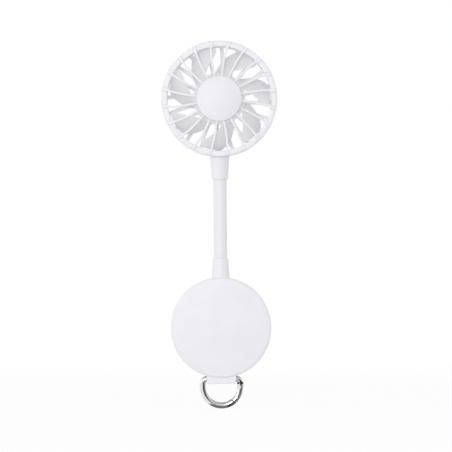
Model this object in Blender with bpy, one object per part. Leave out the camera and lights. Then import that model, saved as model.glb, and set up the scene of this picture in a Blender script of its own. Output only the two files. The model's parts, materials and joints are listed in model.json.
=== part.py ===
"""Phone fan on a bendable neck, with a flat round base and a clip ring.

The base disc lies with its rear pad against a phone. Metres, +Z up. The origin
is the centre of the pad's rear face, +Y points out of that face, and the fan
blows towards -Y.
"""

import math

import bmesh
import bpy
from mathutils import Matrix, Vector

MM = 0.001

# Fits shared by all pieces
seat_gap = 0.3 * MM
shaft_clearance = 0.1 * MM
cut_overrun = 2.0 * MM
weld_distance = 0.001 * MM
sharp_deg = 30.0
round_end_share = 0.95

# Steps round a full turn, by how large the piece is
coarse_steps = 10
tube_steps = 14
middle_steps = 24
disc_steps = 48

# Base disc
disc_radius = 32.5 * MM
disc_depth = 13.0 * MM
disc_edge = 1.6 * MM
cover_wall = 1.8 * MM
front_cover_depth = 8.0 * MM
pad_proud = 0.4 * MM
pad_thickness = 1.1 * MM
pad_border = 0.9 * MM
rear_floor = 1.6 * MM

# Cover screws and their posts
screw_first_deg = 38.0
screw_inset = 3.3 * MM
screw_shank = 0.6 * MM
screw_head = 1.4 * MM
screw_head_height = 0.7 * MM
screw_length = 5.5 * MM
post_radius = 1.9 * MM

# Tab that carries the ring
tab_width = 19.0 * MM
tab_drop = 3.8 * MM
tab_front_setback = 1.2 * MM
tab_rear_setback = 0.8 * MM
tab_corner = 1.2 * MM
bar_drop = 0.9 * MM

# Magnet ring and its steel plate
magnet_margin = 5.1 * MM
magnet_band = 4.5 * MM
magnet_thickness = 1.5 * MM
plate_thickness = 0.6 * MM

# Battery and its foam
battery_side_margin = 13.7 * MM
battery_end_margin = 6.5 * MM
battery_thickness = 3.8 * MM
battery_corner = 0.95 * MM
battery_top = -2.2 * MM
foam_thickness = 0.7 * MM
foam_margin = 3.0 * MM

# Circuit board and what it carries
board_thickness = 1.0 * MM
board_side_margin = 4.2 * MM
board_bottom = -1.0 * MM
board_post_gap = 2.97 * MM
board_stem_width = 22.0 * MM
board_top_margin = 9.7 * MM
usb_width = 9.0 * MM
usb_height = 3.2 * MM
usb_length = 7.3 * MM
usb_wall = 0.35 * MM
usb_recess = 0.9 * MM
usb_level = 5.5 * MM
switch_length = 3.6 * MM
switch_width = 5.0 * MM
switch_height = 2.6 * MM
chip_x = -6.5 * MM
chip_size = 5.0 * MM
chip_height = 1.2 * MM
coil_x = 6.0 * MM
coil_size = 4.0 * MM
coil_height = 2.0 * MM
led_size = 1.4 * MM
led_height = 1.2 * MM
pipe_radius = 0.8 * MM
pipe_inset = 1.6 * MM
pipe_gap = 0.6 * MM
pipe_recess = 0.4 * MM

# Power button in the rim
button_length = 7.0 * MM
button_width = 2.8 * MM
button_drop = 7.0 * MM
button_travel = 0.5 * MM
button_recess = 0.2 * MM
button_flange = 0.8 * MM
button_flange_thickness = 1.0 * MM
button_nub = 0.8 * MM

# Ring with its sprung gate
wire_radius = 2.05 * MM
ring_width = 28.4 * MM
ring_bottom_drop = 20.05 * MM
ring_corner = 2.4 * MM
ring_bend_steps = 4
ring_arc_steps = 16
gate_start_drop = 0.1 * MM
gate_pivot_drop = 2.4 * MM
gate_end_deg = -50.0
gate_cut_deg = 16.0
gate_overrun_deg = 14.0
trim_size = 7.2 * MM
tongue_thickness = 1.3 * MM
tongue_length = 1.2 * MM
slot_side_gap = 0.25 * MM
slot_depth = 2.6 * MM
gate_pin_radius = 0.5 * MM
gate_pin_clearance = 0.15 * MM
gate_pin_length = 3.6 * MM
gate_bore = 0.9 * MM
gate_bore_depth = 4.0 * MM
plunger_length = 1.2 * MM
gate_spring_wall = 0.25 * MM

# Neck
neck_length = 52.0 * MM
neck_radius = 4.25 * MM
sleeve_bore = 2.6 * MM
core_bore = 1.55 * MM
neck_joints = 8
first_joint_rise = 2.7 * MM
last_joint_drop = 3.3 * MM
sleeve_dome_steps = 3
sleeve_seat_steps = 2

# Collars and ferrules
lower_collar_length = 12.0 * MM
lower_collar_top = 5.0 * MM
lower_collar_bottom = 5.7 * MM
upper_collar_length = 14.3 * MM
upper_collar_top = 6.2 * MM
upper_collar_bottom = 5.2 * MM
collar_edge = 0.4 * MM
collar_bore_depth = 20.0 * MM
sleeve_tuck = 2.7 * MM
ferrule_length = 6.0 * MM
ferrule_wall = 0.6 * MM
spigot_radius = 3.1 * MM
spigot_bore = 1.9 * MM
flange_thickness = 1.2 * MM
flange_depth = 5.4 * MM
flange_width = 10.0 * MM

# Leads
lead_radius = 0.45 * MM
lead_breadth_share = 1.9
lead_slope_steps = 3
lead_sides = 8

# Fan head
head_radius = 37.5 * MM
head_depth = 24.0 * MM
head_wall = 1.6 * MM
head_edge = 1.2 * MM
lip_width = 3.8 * MM
lip_thickness = 1.6 * MM
lip_bevel = 0.4 * MM
hub_seat_radius = 14.2 * MM
hub_seat_thickness = 1.5 * MM
hub_rise = 1.4 * MM
cap_radius = 14.5 * MM
cap_height = 3.0 * MM
cap_wall = 1.2 * MM
cap_edge = 0.6 * MM
cap_steps = 6
cap_inner_steps = 4

# Guard ribs, with bearings clockwise from the top as seen from the front
rib_count = 20
front_rib_first_deg = 6.9
rear_rib_first_deg = 6.0
rib_steps = 4
rib_end_inset = 0.3 * MM
front_rib_width = 1.45 * MM
front_rib_depth = 1.8 * MM
front_rib_raise = 0.35 * MM
front_rib_sweep_deg = 5.2
front_rib_lead_deg = 1.4
rear_rib_width = 2.5 * MM
rear_rib_depth = 2.0 * MM
rear_rib_setback = 0.4 * MM
rear_rib_sweep_deg = -4.0
rim_block_first_deg = 172.0
rim_block_last_deg = 189.4
rim_block_raise = 0.28 * MM
rim_block_steps = 3

# Impeller
blade_count = 7
blade_tip_gap = 2.9 * MM
blade_thickness = 1.1 * MM
blade_bow = 1.1 * MM
blade_depth = 7.6 * MM
blade_front_clearance = 1.1 * MM
blade_corner_share = 0.12
blade_corner_power = 8
blade_lead_first_deg = 41.0
blade_lead_sweep_deg = 30.0
blade_lead_power = 0.9
blade_trail_first_deg = 68.0
blade_trail_sweep_deg = 34.5
blade_trail_power = 1.6
blade_radial_steps = 6
blade_chord_steps = 5
fan_hub_radius = 16.8 * MM
fan_hub_depth = 9.3 * MM
fan_hub_wall = 1.2 * MM
fan_hub_edge = 0.8 * MM
fan_hub_clearance = 1.6 * MM
boss_radius = 2.6 * MM
boss_rise = 1.0 * MM

# Motor
motor_radius = 10.5 * MM
motor_length = 13.8 * MM
motor_wall = 0.8 * MM
motor_front_clearance = 1.0 * MM
shaft_radius = 1.0 * MM
bush_wall = 1.0 * MM
bush_proud = 0.5 * MM
motor_magnet_thickness = 1.8 * MM
motor_magnet_length = 11.0 * MM
armature_radius = 6.9 * MM
armature_length = 8.0 * MM
armature_hub = 2.6 * MM
armature_pole_deg = 96.0
armature_pole_thickness = 1.4 * MM
armature_stem_deg = 40.0
armature_poles = 3
bell_inset = 0.2 * MM
bell_thickness = 1.4 * MM
bell_boss_radius = 3.0 * MM
bell_boss_height = 0.9 * MM
cup_wall = 1.6 * MM
cup_mouth_gap = 3.2 * MM
cup_floor_gap = 0.9 * MM
lead_notch_width = 2.6 * MM

# Places that follow from the sizes above
mid_y = -disc_depth / 2
front_y = -disc_depth
rear_face_y = -pad_proud
pad_floor_y = -pad_thickness - seat_gap
inner_floor_y = pad_floor_y - rear_floor
inner_front_y = front_y + cover_wall
cavity_radius = disc_radius - cover_wall
parting_y = front_y + front_cover_depth
pad_recess_radius = disc_radius - disc_edge - pad_border
screw_circle = cavity_radius - screw_inset
magnet_outer = pad_recess_radius - magnet_margin
battery_width = 2 * (cavity_radius - battery_side_margin)
battery_height = cavity_radius - battery_end_margin + battery_top
board_reach = cavity_radius - board_side_margin
board_shoulder = screw_circle * math.sin(math.radians(screw_first_deg)) - post_radius - board_post_gap
board_top = cavity_radius - board_top_margin
pipe_level = board_shoulder - pipe_inset
button_level = pipe_level - button_drop
neck_bottom = disc_radius + lower_collar_length
neck_top = neck_bottom + neck_length
head_z = neck_top + upper_collar_length + head_radius
first_joint_z = neck_bottom + first_joint_rise
joint_pitch = (neck_length - first_joint_rise - last_joint_drop) / (neck_joints - 1)
core_radius = sleeve_bore - seat_gap
bar_z = -disc_radius - bar_drop
ring_half_width = ring_width / 2 - wire_radius
ring_arc_z = -disc_radius - ring_bottom_drop + wire_radius + ring_half_width
gate_top_z = bar_z - ring_corner - gate_start_drop - seat_gap
gate_pivot_z = bar_z - ring_corner - gate_start_drop - gate_pivot_drop
board_rear_y = inner_front_y + foam_thickness + board_thickness
side_y = board_rear_y + seat_gap + usb_height / 2
head_front = -head_depth / 2
head_rear = head_depth / 2
hub_front = head_front - hub_rise
blade_radius = head_radius - head_wall - blade_tip_gap
fan_plate_front = hub_front + hub_seat_thickness + fan_hub_clearance
motor_front = fan_plate_front + fan_hub_wall + motor_front_clearance
motor_rear = motor_front + motor_length
bell_front = motor_rear + seat_gap
bell_rear = bell_front + bell_thickness
cup_floor = bell_rear + bell_boss_height + cup_floor_gap
rib_hub_radius = hub_seat_radius - front_rib_depth / 2


# Mesh helpers


def clear_scene():
    """Remove whatever the file holds."""
    for item in list(bpy.data.objects):
        bpy.data.objects.remove(item)


def give_material(piece, finish):
    """Give the piece its own material, from a finish of colour, roughness and metallic value."""
    colour, roughness, metallic = finish
    material = bpy.data.materials.new(piece.name)
    material.use_nodes = True
    shader = material.node_tree.nodes["Principled BSDF"]
    shader.inputs["Base Color"].default_value = (*colour, 1.0)
    shader.inputs["Roughness"].default_value = roughness
    shader.inputs["Metallic"].default_value = metallic
    material.diffuse_color = (*colour, 1.0)
    piece.data.materials.clear()
    piece.data.materials.append(material)


def piece_from(bm, name, place=(0, 0, 0), finish=None):
    """Turn a bmesh into an object, with its faces pointing out."""
    bmesh.ops.recalc_face_normals(bm, faces=bm.faces)
    mesh = bpy.data.meshes.new(name)
    bm.to_mesh(mesh)
    bm.free()
    mesh.shade_smooth()
    mesh.set_sharp_from_angle(angle=math.radians(sharp_deg))
    piece = bpy.data.objects.new(name, mesh)
    piece.location = place
    bpy.context.scene.collection.objects.link(piece)
    if finish:
        give_material(piece, finish)
    return piece


def combine(piece, tools, operation):
    """Apply a Boolean with each tool in turn, and remove the tools."""
    for tool in tools:
        modifier = piece.modifiers.new("boolean", "BOOLEAN")
        modifier.solver = "EXACT"
        modifier.operation = operation
        modifier.object = tool
        bpy.context.view_layer.update()
        graph = bpy.context.evaluated_depsgraph_get()
        mesh = bpy.data.meshes.new_from_object(piece.evaluated_get(graph))
        piece.modifiers.clear()
        piece.data = mesh
        bpy.data.objects.remove(tool)
    piece.data.shade_smooth()
    piece.data.set_sharp_from_angle(angle=math.radians(sharp_deg))
    return piece


def cut(piece, *tools):
    """Take the tools away from the piece."""
    return combine(piece, tools, "DIFFERENCE")


def join(piece, *tools):
    """Melt the tools into the piece."""
    return combine(piece, tools, "UNION")


def move_origin(piece, place):
    """Put the piece's origin at a place and leave its shape where it is."""
    piece.data.transform(Matrix.Translation(piece.location - Vector(place)))
    piece.location = place
    return piece


def polar(radius, angle_deg):
    """Point in a plane at a radius and an angle."""
    angle = math.radians(angle_deg)
    return (radius * math.cos(angle), radius * math.sin(angle))


def arc(centre, radius, first_deg, last_deg, steps):
    """Points on an arc in a plane, both ends included."""
    points = []
    for step in range(steps + 1):
        u, v = polar(radius, first_deg + (last_deg - first_deg) * step / steps)
        points.append((centre[0] + u, centre[1] + v))
    return points


def turned(outline, steps, axis):
    """Turn an outline of (radius, height) points about an axis, closed or starting on the axis."""
    bm = bmesh.new()
    direction = Vector(axis)
    rim = [bm.verts.new(Vector((radius, 0, 0)) + direction * height) for radius, height in outline]
    edges = [bm.edges.new(pair) for pair in zip(rim, rim[1:])]
    if outline[0][0] > 0 or outline[-1][0] > 0:
        edges.append(bm.edges.new((rim[-1], rim[0])))
    bmesh.ops.spin(
        bm, geom=rim + edges, cent=(0, 0, 0), axis=axis, angle=math.tau, steps=steps, use_merge=True
    )
    bmesh.ops.remove_doubles(bm, verts=bm.verts, dist=weld_distance)
    return bm


def turned_y(outline, steps):
    """Turn an outline of (radius, y) points about the Y axis."""
    return turned(outline, steps, (0, 1, 0))


def turned_z(outline, steps):
    """Turn an outline of (radius, z) points about the Z axis."""
    return turned(outline, steps, (0, 0, 1))


def rod(radius, low, high):
    """Outline of a plain round rod between two heights."""
    return [(0, low), (radius, low), (radius, high), (0, high)]


def tube(inner, outer, low, high):
    """Outline of a plain tube between two heights."""
    return [(inner, low), (outer, low), (outer, high), (inner, high)]


def add_prism(bm, outline, low, high, place):
    """Add the closed outline, pushed from one height to another; place maps (u, v, height)."""
    bottom = [bm.verts.new(place(u, v, low)) for u, v in outline]
    top = [bm.verts.new(place(u, v, high)) for u, v in outline]
    bm.faces.new(bottom)
    bm.faces.new(list(reversed(top)))
    for index in range(len(outline)):
        after = (index + 1) % len(outline)
        bm.faces.new((bottom[index], bottom[after], top[after], top[index]))


def along_y(u, v, height):
    """Place an XZ outline that is pushed along Y."""
    return (u, height, v)


def along_x(u, v, height):
    """Place a YZ outline that is pushed along X."""
    return (height, u, v)


def prism(outline, low, high, place):
    """A closed outline pushed from one height to another."""
    bm = bmesh.new()
    add_prism(bm, outline, low, high, place)
    return bm


def rounded_box(width, height, corner, steps, centre=(0, 0)):
    """Outline of a rectangle with rounded corners."""
    points = []
    half_width = width / 2 - corner
    half_height = height / 2 - corner
    for sign_u, sign_v, start in ((1, 1, 0), (-1, 1, 90), (-1, -1, 180), (1, -1, 270)):
        middle = (centre[0] + sign_u * half_width, centre[1] + sign_v * half_height)
        points += arc(middle, corner, start, start + 90, steps)
    return points


def add_block(bm, low, high):
    """Add an upright block between two corners."""
    centre = (Vector(low) + Vector(high)) / 2
    size = Vector(high) - Vector(low)
    matrix = Matrix.Translation(centre) @ Matrix.Diagonal((*size, 1.0))
    bmesh.ops.create_cube(bm, size=1.0, matrix=matrix)


def block(low, high):
    """An upright block between two corners."""
    bm = bmesh.new()
    add_block(bm, low, high)
    return bm


def add_bar(bm, points, radius, sides, breadth=1.0):
    """Add a bar with flat ends along points; a breadth share stretches its section along X."""
    path = [Vector(point) for point in points]
    rings = []
    side = Vector((1, 0, 0)) if breadth != 1.0 else (path[1] - path[0]).orthogonal()
    for index, point in enumerate(path):
        before = path[max(index - 1, 0)]
        after = path[min(index + 1, len(path) - 1)]
        tangent = (after - before).normalized()
        side = (side - tangent * side.dot(tangent)).normalized()
        other = tangent.cross(side)
        ring = []
        for step in range(sides):
            angle = math.tau * step / sides
            offset = side * math.cos(angle) * breadth + other * math.sin(angle)
            ring.append(bm.verts.new(point + offset * radius))
        rings.append(ring)
    for first, second in zip(rings, rings[1:]):
        for step in range(sides):
            after = (step + 1) % sides
            bm.faces.new((first[step], first[after], second[after], second[step]))
    bm.faces.new(list(reversed(rings[0])))
    bm.faces.new(rings[-1])


def bar(points, radius, sides, breadth=1.0):
    """A bar with flat ends along a list of points."""
    bm = bmesh.new()
    add_bar(bm, points, radius, sides, breadth)
    return bm


def smooth_path(points, steps):
    """Points on a smooth curve through the given ones."""
    path = [Vector(point) for point in points]
    ends = [path[0] * 2 - path[1]] + path + [path[-1] * 2 - path[-2]]
    result = []
    for index in range(1, len(ends) - 2):
        before, here, after, beyond = ends[index - 1 : index + 3]
        for step in range(steps):
            t = step / steps
            linear = (after - before) * t
            square = (before * 2 - here * 5 + after * 4 - beyond) * t * t
            cube = (here * 3 - before - after * 3 + beyond) * t ** 3
            result.append(here + (linear + square + cube) / 2)
    result.append(path[-1])
    return result


# Finishes: colour, roughness, metallic value

white = ((0.86, 0.86, 0.88), 0.45, 0.0)
shade_white = ((0.80, 0.80, 0.82), 0.5, 0.0)
pad_grey = ((0.78, 0.78, 0.79), 0.7, 0.0)
chrome = ((0.75, 0.75, 0.76), 0.12, 1.0)
steel = ((0.55, 0.56, 0.58), 0.35, 1.0)
dark_steel = ((0.2, 0.2, 0.22), 0.4, 0.9)
brass = ((0.75, 0.58, 0.28), 0.3, 1.0)
ferrite = ((0.08, 0.08, 0.09), 0.6, 0.2)
black_plastic = ((0.03, 0.03, 0.035), 0.5, 0.0)
board_green = ((0.03, 0.22, 0.1), 0.5, 0.0)
cell_silver = ((0.6, 0.61, 0.64), 0.4, 0.6)
foam_black = ((0.05, 0.05, 0.05), 0.95, 0.0)
lead_red = ((0.6, 0.04, 0.04), 0.5, 0.0)
clear_plastic = ((0.9, 0.95, 0.95), 0.2, 0.0)
copper = ((0.72, 0.4, 0.25), 0.35, 1.0)


# Base disc


def screw_centres():
    """Centres of the cover screws, in X and Z."""
    lift = screw_first_deg
    return [polar(screw_circle, angle_deg) for angle_deg in (lift, 180 - lift, 180 + lift, -lift)]


def spigot_notch(name):
    """Cutter for the round notch that both covers leave for the collar's spigot."""
    outline = rod(spigot_radius + seat_gap, cavity_radius - cut_overrun, disc_radius + cut_overrun)
    return piece_from(turned_z(outline, tube_steps), name, (0, mid_y, 0))


def bar_bore(name):
    """Cutter for the bore that the ring's bar turns in."""
    reach = tab_width / 2 + cut_overrun
    ends = [(-reach, mid_y, bar_z), (reach, mid_y, bar_z)]
    return piece_from(bar(ends, wire_radius + seat_gap, tube_steps), name)


def pill(length, width, level):
    """Outline with round ends in the disc's side wall, seen along X."""
    return rounded_box(width, length, width / 2 * round_end_share, 3, (side_y, level))


def side_slot(name, length, width, level, side):
    """Cutter for an opening in the disc's side wall; side is -1 at -X and 1 at +X."""
    outline = pill(length + 2 * seat_gap, width + 2 * seat_gap, level)
    ends = sorted((side * (cavity_radius - cut_overrun), side * (disc_radius + cut_overrun)))
    return piece_from(prism(outline, *ends, along_x), name)


def add_posts(cover):
    """Join the screw posts to the front cover, with their pilot holes."""
    post_front = inner_front_y - cover_wall / 2
    post_rear = inner_floor_y - seat_gap
    post = rod(post_radius, post_front, post_rear)
    hole = rod(screw_shank + shaft_clearance, post_rear - screw_length, post_rear + cut_overrun)
    for index, (x, z) in enumerate(screw_centres()):
        join(cover, piece_from(turned_y(post, coarse_steps), f"post_{index}", (x, 0, z)))
        cut(cover, piece_from(turned_y(hole, coarse_steps), f"pilot_{index}", (x, 0, z)))


def front_cover():
    """Front shell of the disc, with posts for the screws."""
    outline = [(0, front_y)]
    outline += arc((disc_radius - disc_edge, front_y + disc_edge), disc_edge, -90, 0, 4)
    outline += [
        (disc_radius, parting_y - seat_gap / 2),
        (cavity_radius, parting_y - seat_gap / 2),
        (cavity_radius, inner_front_y),
        (0, inner_front_y),
    ]
    cover = piece_from(turned_y(outline, disc_steps), "front_cover", finish=white)
    add_posts(cover)
    button_slot = side_slot("button_slot", button_length, button_width, button_level, 1)
    usb_slot = side_slot("usb_slot", usb_width, usb_height, usb_level, -1)
    pipe_bar = bar(light_pipe_ends(cut_overrun), pipe_radius + seat_gap, coarse_steps)
    pipe_hole = piece_from(pipe_bar, "pipe_hole")
    return cut(cover, spigot_notch("front_notch"), bar_bore("front_bore"), button_slot, usb_slot, pipe_hole)


def tab_outline(top_radius):
    """Outline of the tab, closed on top by an arc of the disc."""
    half = tab_width / 2
    bottom = -disc_radius - tab_drop
    points = arc((half - tab_corner, bottom + tab_corner), tab_corner, 0, -90, 3)
    points += arc((-half + tab_corner, bottom + tab_corner), tab_corner, -90, -180, 3)
    lean = math.degrees(math.asin(half / top_radius))
    points += arc((0, 0), top_radius, -90 - lean, -90 + lean, 6)
    return points


def screw_pockets():
    """Cutters for the stepped holes that the cover screws sit in."""
    shelf = pad_floor_y - screw_head_height - seat_gap
    pocket = [
        (0, inner_floor_y - cut_overrun),
        (screw_shank + seat_gap, inner_floor_y - cut_overrun),
        (screw_shank + seat_gap, shelf),
        (screw_head + seat_gap, shelf),
        (screw_head + seat_gap, pad_floor_y + cut_overrun),
        (0, pad_floor_y + cut_overrun),
    ]
    return [
        piece_from(turned_y(pocket, coarse_steps), f"pocket_{index}", (x, 0, z))
        for index, (x, z) in enumerate(screw_centres())
    ]


def rear_cover():
    """Rear shell of the disc, with the pad's recess, the screw holes and the tab."""
    outline = [
        (0, pad_floor_y),
        (pad_recess_radius, pad_floor_y),
        (pad_recess_radius, rear_face_y),
    ]
    outline += arc((disc_radius - disc_edge, rear_face_y - disc_edge), disc_edge, 90, 0, 4)
    outline += [
        (disc_radius, parting_y + seat_gap / 2),
        (cavity_radius, parting_y + seat_gap / 2),
        (cavity_radius, inner_floor_y),
        (0, inner_floor_y),
    ]
    cover = piece_from(turned_y(outline, disc_steps), "rear_cover", finish=white)
    tab_front_y = front_y + tab_front_setback
    tab_rear_y = rear_face_y - tab_rear_setback
    root_front_y = parting_y + seat_gap / 2
    outer = prism(tab_outline(disc_radius + seat_gap), tab_front_y, tab_rear_y - cover_wall / 2, along_y)
    root = prism(tab_outline(disc_radius - cover_wall / 2), root_front_y, tab_rear_y, along_y)
    join(cover, piece_from(outer, "tab_outer"), piece_from(root, "tab_root"))
    return cut(cover, spigot_notch("rear_notch"), bar_bore("rear_bore"), *screw_pockets())


def rear_pad():
    """Soft round pad whose rear face lies against the phone."""
    outline = rod(pad_recess_radius - seat_gap, -pad_thickness, 0)
    return piece_from(turned_y(outline, disc_steps), "rear_pad", finish=pad_grey)


def cover_screws():
    """The screws that hold the covers together, under the pad."""
    head_front_y = pad_floor_y - screw_head_height
    tip = inner_floor_y - screw_length
    outline = [
        (0, pad_floor_y),
        (screw_head, pad_floor_y),
        (screw_head, head_front_y),
        (screw_shank, head_front_y),
        (screw_shank, tip),
        (0, tip),
    ]
    for number, (x, z) in enumerate(screw_centres(), 1):
        piece_from(turned_y(outline, coarse_steps), f"cover_screw_{number}", (x, 0, z), steel)


def magnets():
    """The magnet ring behind the pad, and the steel plate on its inner face."""
    ring_rear = inner_floor_y - seat_gap
    ring_front = ring_rear - magnet_thickness
    plate_rear = ring_front - seat_gap
    inner = magnet_outer - magnet_band
    ring = tube(inner, magnet_outer, ring_front, ring_rear)
    plate = tube(inner, magnet_outer, plate_rear - plate_thickness, plate_rear)
    piece_from(turned_y(ring, middle_steps), "magnet_ring", finish=dark_steel)
    piece_from(turned_y(plate, middle_steps), "magnet_plate", finish=steel)


def battery():
    """Flat cell on its foam, with two short leads to the board."""
    foam_front = inner_front_y + seat_gap
    foam_rear = foam_front + foam_thickness
    cell_front = foam_rear + seat_gap
    cell_rear = cell_front + battery_thickness
    half = battery_width / 2
    bottom = battery_top - battery_height
    foam = block(
        (-half + foam_margin, foam_front, bottom + foam_margin),
        (half - foam_margin, foam_rear, battery_top - foam_margin),
    )
    piece_from(foam, "battery_foam", finish=foam_black)
    middle = (0, battery_top - battery_height / 2)
    outline = rounded_box(battery_width, battery_height, battery_corner, 2, middle)
    piece_from(prism(outline, cell_front, cell_rear, along_y), "battery", finish=cell_silver)
    lead_y = board_rear_y + seat_gap + lead_radius
    start_z = battery_top + seat_gap
    route = [
        (0, lead_y + lead_radius, start_z),
        (0, lead_y + lead_radius, start_z + lead_radius * 2),
        (0, lead_y, start_z + lead_radius * 5),
        (0, lead_y, start_z + lead_radius * 8),
    ]
    lead = bar(smooth_path(route, 2), lead_radius, lead_sides, lead_breadth_share)
    piece_from(lead, "battery_lead", finish=lead_red)


def circuit_board():
    """Board with a stem towards the neck."""
    half = board_stem_width / 2
    outline = [
        (-board_reach, board_bottom),
        (board_reach, board_bottom),
        (board_reach, board_shoulder),
        (half, board_shoulder),
        (half, board_top),
        (-half, board_top),
        (-half, board_shoulder),
        (-board_reach, board_shoulder),
    ]
    bm = prism(outline, board_rear_y - board_thickness, board_rear_y, along_y)
    piece_from(bm, "circuit_board", finish=board_green)


def usb_socket():
    """Metal shell of the charging socket, open to the side."""
    mouth = -disc_radius + usb_recess
    body = prism(pill(usb_width, usb_height, usb_level), mouth, mouth + usb_length, along_x)
    socket = piece_from(body, "usb_socket", finish=steel)
    inner = pill(usb_width - 2 * usb_wall, usb_height - 2 * usb_wall, usb_level)
    hollow = prism(inner, mouth - cut_overrun, mouth + usb_length - usb_height, along_x)
    cut(socket, piece_from(hollow, "usb_hollow"))


def switch_front_x():
    """Outer end of the push switch, clear of the pressed button's nub."""
    return button_nub_x() - button_travel - shaft_clearance


def small_parts():
    """Push switch, chips and status light on the board's rear face."""
    base = board_rear_y + seat_gap
    front_x = switch_front_x()
    half = switch_width / 2
    switch = block(
        (front_x - switch_length, base, button_level - half),
        (front_x, base + switch_height, button_level + half),
    )
    piece_from(switch, "push_switch", finish=black_plastic)
    middle_z = (board_bottom + board_shoulder) / 2
    chip = block(
        (chip_x - chip_size / 2, base, middle_z - chip_size / 2),
        (chip_x + chip_size / 2, base + chip_height, middle_z + chip_size / 2),
    )
    piece_from(chip, "control_chip", finish=black_plastic)
    coil = block(
        (coil_x - coil_size / 2, base, middle_z - coil_size / 2),
        (coil_x + coil_size / 2, base + coil_height, middle_z + coil_size / 2),
    )
    piece_from(coil, "choke_coil", finish=ferrite)
    led_end = light_pipe_ends(0)[0][0] - pipe_gap
    light = block(
        (led_end - led_size, base, pipe_level - led_size / 2),
        (led_end, base + led_height, pipe_level + led_size / 2),
    )
    piece_from(light, "status_light", finish=clear_plastic)


def light_pipe_ends(extra):
    """Ends of the light pipe, or of its hole when it is lengthened."""
    y = board_rear_y + seat_gap + led_height / 2
    rim_x = math.sqrt(disc_radius ** 2 - pipe_level ** 2)
    wall_x = math.sqrt(cavity_radius ** 2 - pipe_level ** 2)
    inner_x = wall_x - pipe_radius - extra
    return [(inner_x, y, pipe_level), (rim_x - pipe_recess + extra, y, pipe_level)]


def light_pipe():
    """Clear rod that brings the status light to the rim."""
    bm = bar(light_pipe_ends(0), pipe_radius, coarse_steps)
    piece_from(bm, "light_pipe", finish=clear_plastic)


def button_flange_x():
    """Outer face of the button's flange, inside the curved wall at the flange's far corner."""
    corner = abs(button_level) + button_length / 2 + button_flange
    return math.sqrt(cavity_radius ** 2 - corner ** 2) - seat_gap


def button_nub_x():
    """Inner end of the nub that pushes the switch."""
    return button_flange_x() - button_flange_thickness - button_nub


def power_button():
    """Button in the rim, its face flush with the round side wall."""
    flange_x = button_flange_x()
    outline = pill(button_length, button_width, button_level)
    body = prism(outline, flange_x - button_flange_thickness / 2, disc_radius, along_x)
    button = piece_from(body, "power_button", finish=white)
    shaper = tube(disc_radius - button_recess, disc_radius + cut_overrun, front_y, 0)
    cut(button, piece_from(turned_y(shaper, disc_steps), "button_shaper"))
    wide = button_width + button_flange
    tall = button_length + 2 * button_flange
    flange = rounded_box(wide, tall, button_flange, 2, (side_y, button_level))
    flange_bm = prism(flange, flange_x - button_flange_thickness, flange_x, along_x)
    nub_ends = [
        (button_nub_x(), side_y, button_level),
        (flange_x - button_flange_thickness / 2, side_y, button_level),
    ]
    nub = bar(nub_ends, button_nub, coarse_steps)
    join(button, piece_from(flange_bm, "button_flange"), piece_from(nub, "button_nub"))
    move_origin(button, (flange_x, side_y, button_level))


# Ring and gate


def ring_place(points):
    """Lift XZ points into the ring's plane."""
    return [(x, mid_y, z) for x, z in points]


def ring_bow():
    """Bent wire of the ring, from the gate's hinge round to the nose."""
    half = ring_half_width
    hinge_z = gate_pivot_z - tongue_length
    bend = ring_corner
    points = [(half, hinge_z)]
    points += arc((half - bend, bar_z - bend), bend, 0, 90, ring_bend_steps)
    points += arc((-half + bend, bar_z - bend), bend, 90, 180, ring_bend_steps)
    points += arc((0, ring_arc_z), half, 180, 360 + gate_end_deg + gate_overrun_deg, ring_arc_steps)
    bow = piece_from(bar(ring_place(points), wire_radius, coarse_steps), "ring_bow", finish=chrome)
    tools = []
    reach = wire_radius + cut_overrun
    for side in (-1, 1):
        near = side * tongue_thickness / 2
        far = side * reach
        low = (half - reach, mid_y + min(near, far), hinge_z - cut_overrun)
        high = (half + reach, mid_y + max(near, far), gate_top_z + seat_gap)
        tools.append(piece_from(block(low, high), f"tongue_side_{side}"))
    hole = piece_from(pin_bar(gate_pin_radius + gate_pin_clearance, reach), "tongue_hole")
    cut(bow, *tools, hole, nose_cutter(1))
    move_origin(bow, (0, mid_y, bar_z))


def gate_pivot():
    """Middle of the gate's hinge."""
    return Vector((ring_half_width, mid_y, gate_pivot_z))


def pin_bar(radius, reach):
    """Round bar on the gate's pivot, along Y."""
    offset = Vector((0, reach, 0))
    return bar([gate_pivot() - offset, gate_pivot() + offset], radius, coarse_steps)


def nose_cutter(side):
    """Slanted block that trims the wire where gate and nose meet; side 1 trims the bow, -1 the gate."""
    angle = math.radians(gate_end_deg)
    meet = Vector((ring_half_width * math.cos(angle), 0, ring_arc_z + ring_half_width * math.sin(angle)))
    tilt = math.radians(gate_cut_deg)
    middle = side * (trim_size / 2 - seat_gap / 2)
    bm = bmesh.new()
    turn = Matrix.Rotation(tilt, 4, "Y")
    shift = Matrix.Translation(meet + Vector((0, mid_y, 0)))
    local = Matrix.Translation((0, 0, middle))
    bmesh.ops.create_cube(bm, size=trim_size, matrix=shift @ turn @ local)
    return piece_from(bm, f"nose_cutter_{side}")


def gate_bore_ends(start, length):
    """Ends of a length of the gate's bore, from a depth under the slot's floor."""
    top = gate_pivot() - Vector((0, 0, slot_depth))
    low_z = top.z - gate_bore_depth
    reach = ring_arc_z - low_z
    low_x = math.sqrt(ring_half_width ** 2 - reach ** 2)
    direction = (Vector((low_x, mid_y, low_z)) - top).normalized()
    return [top + direction * start, top + direction * (start + length)]


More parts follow.
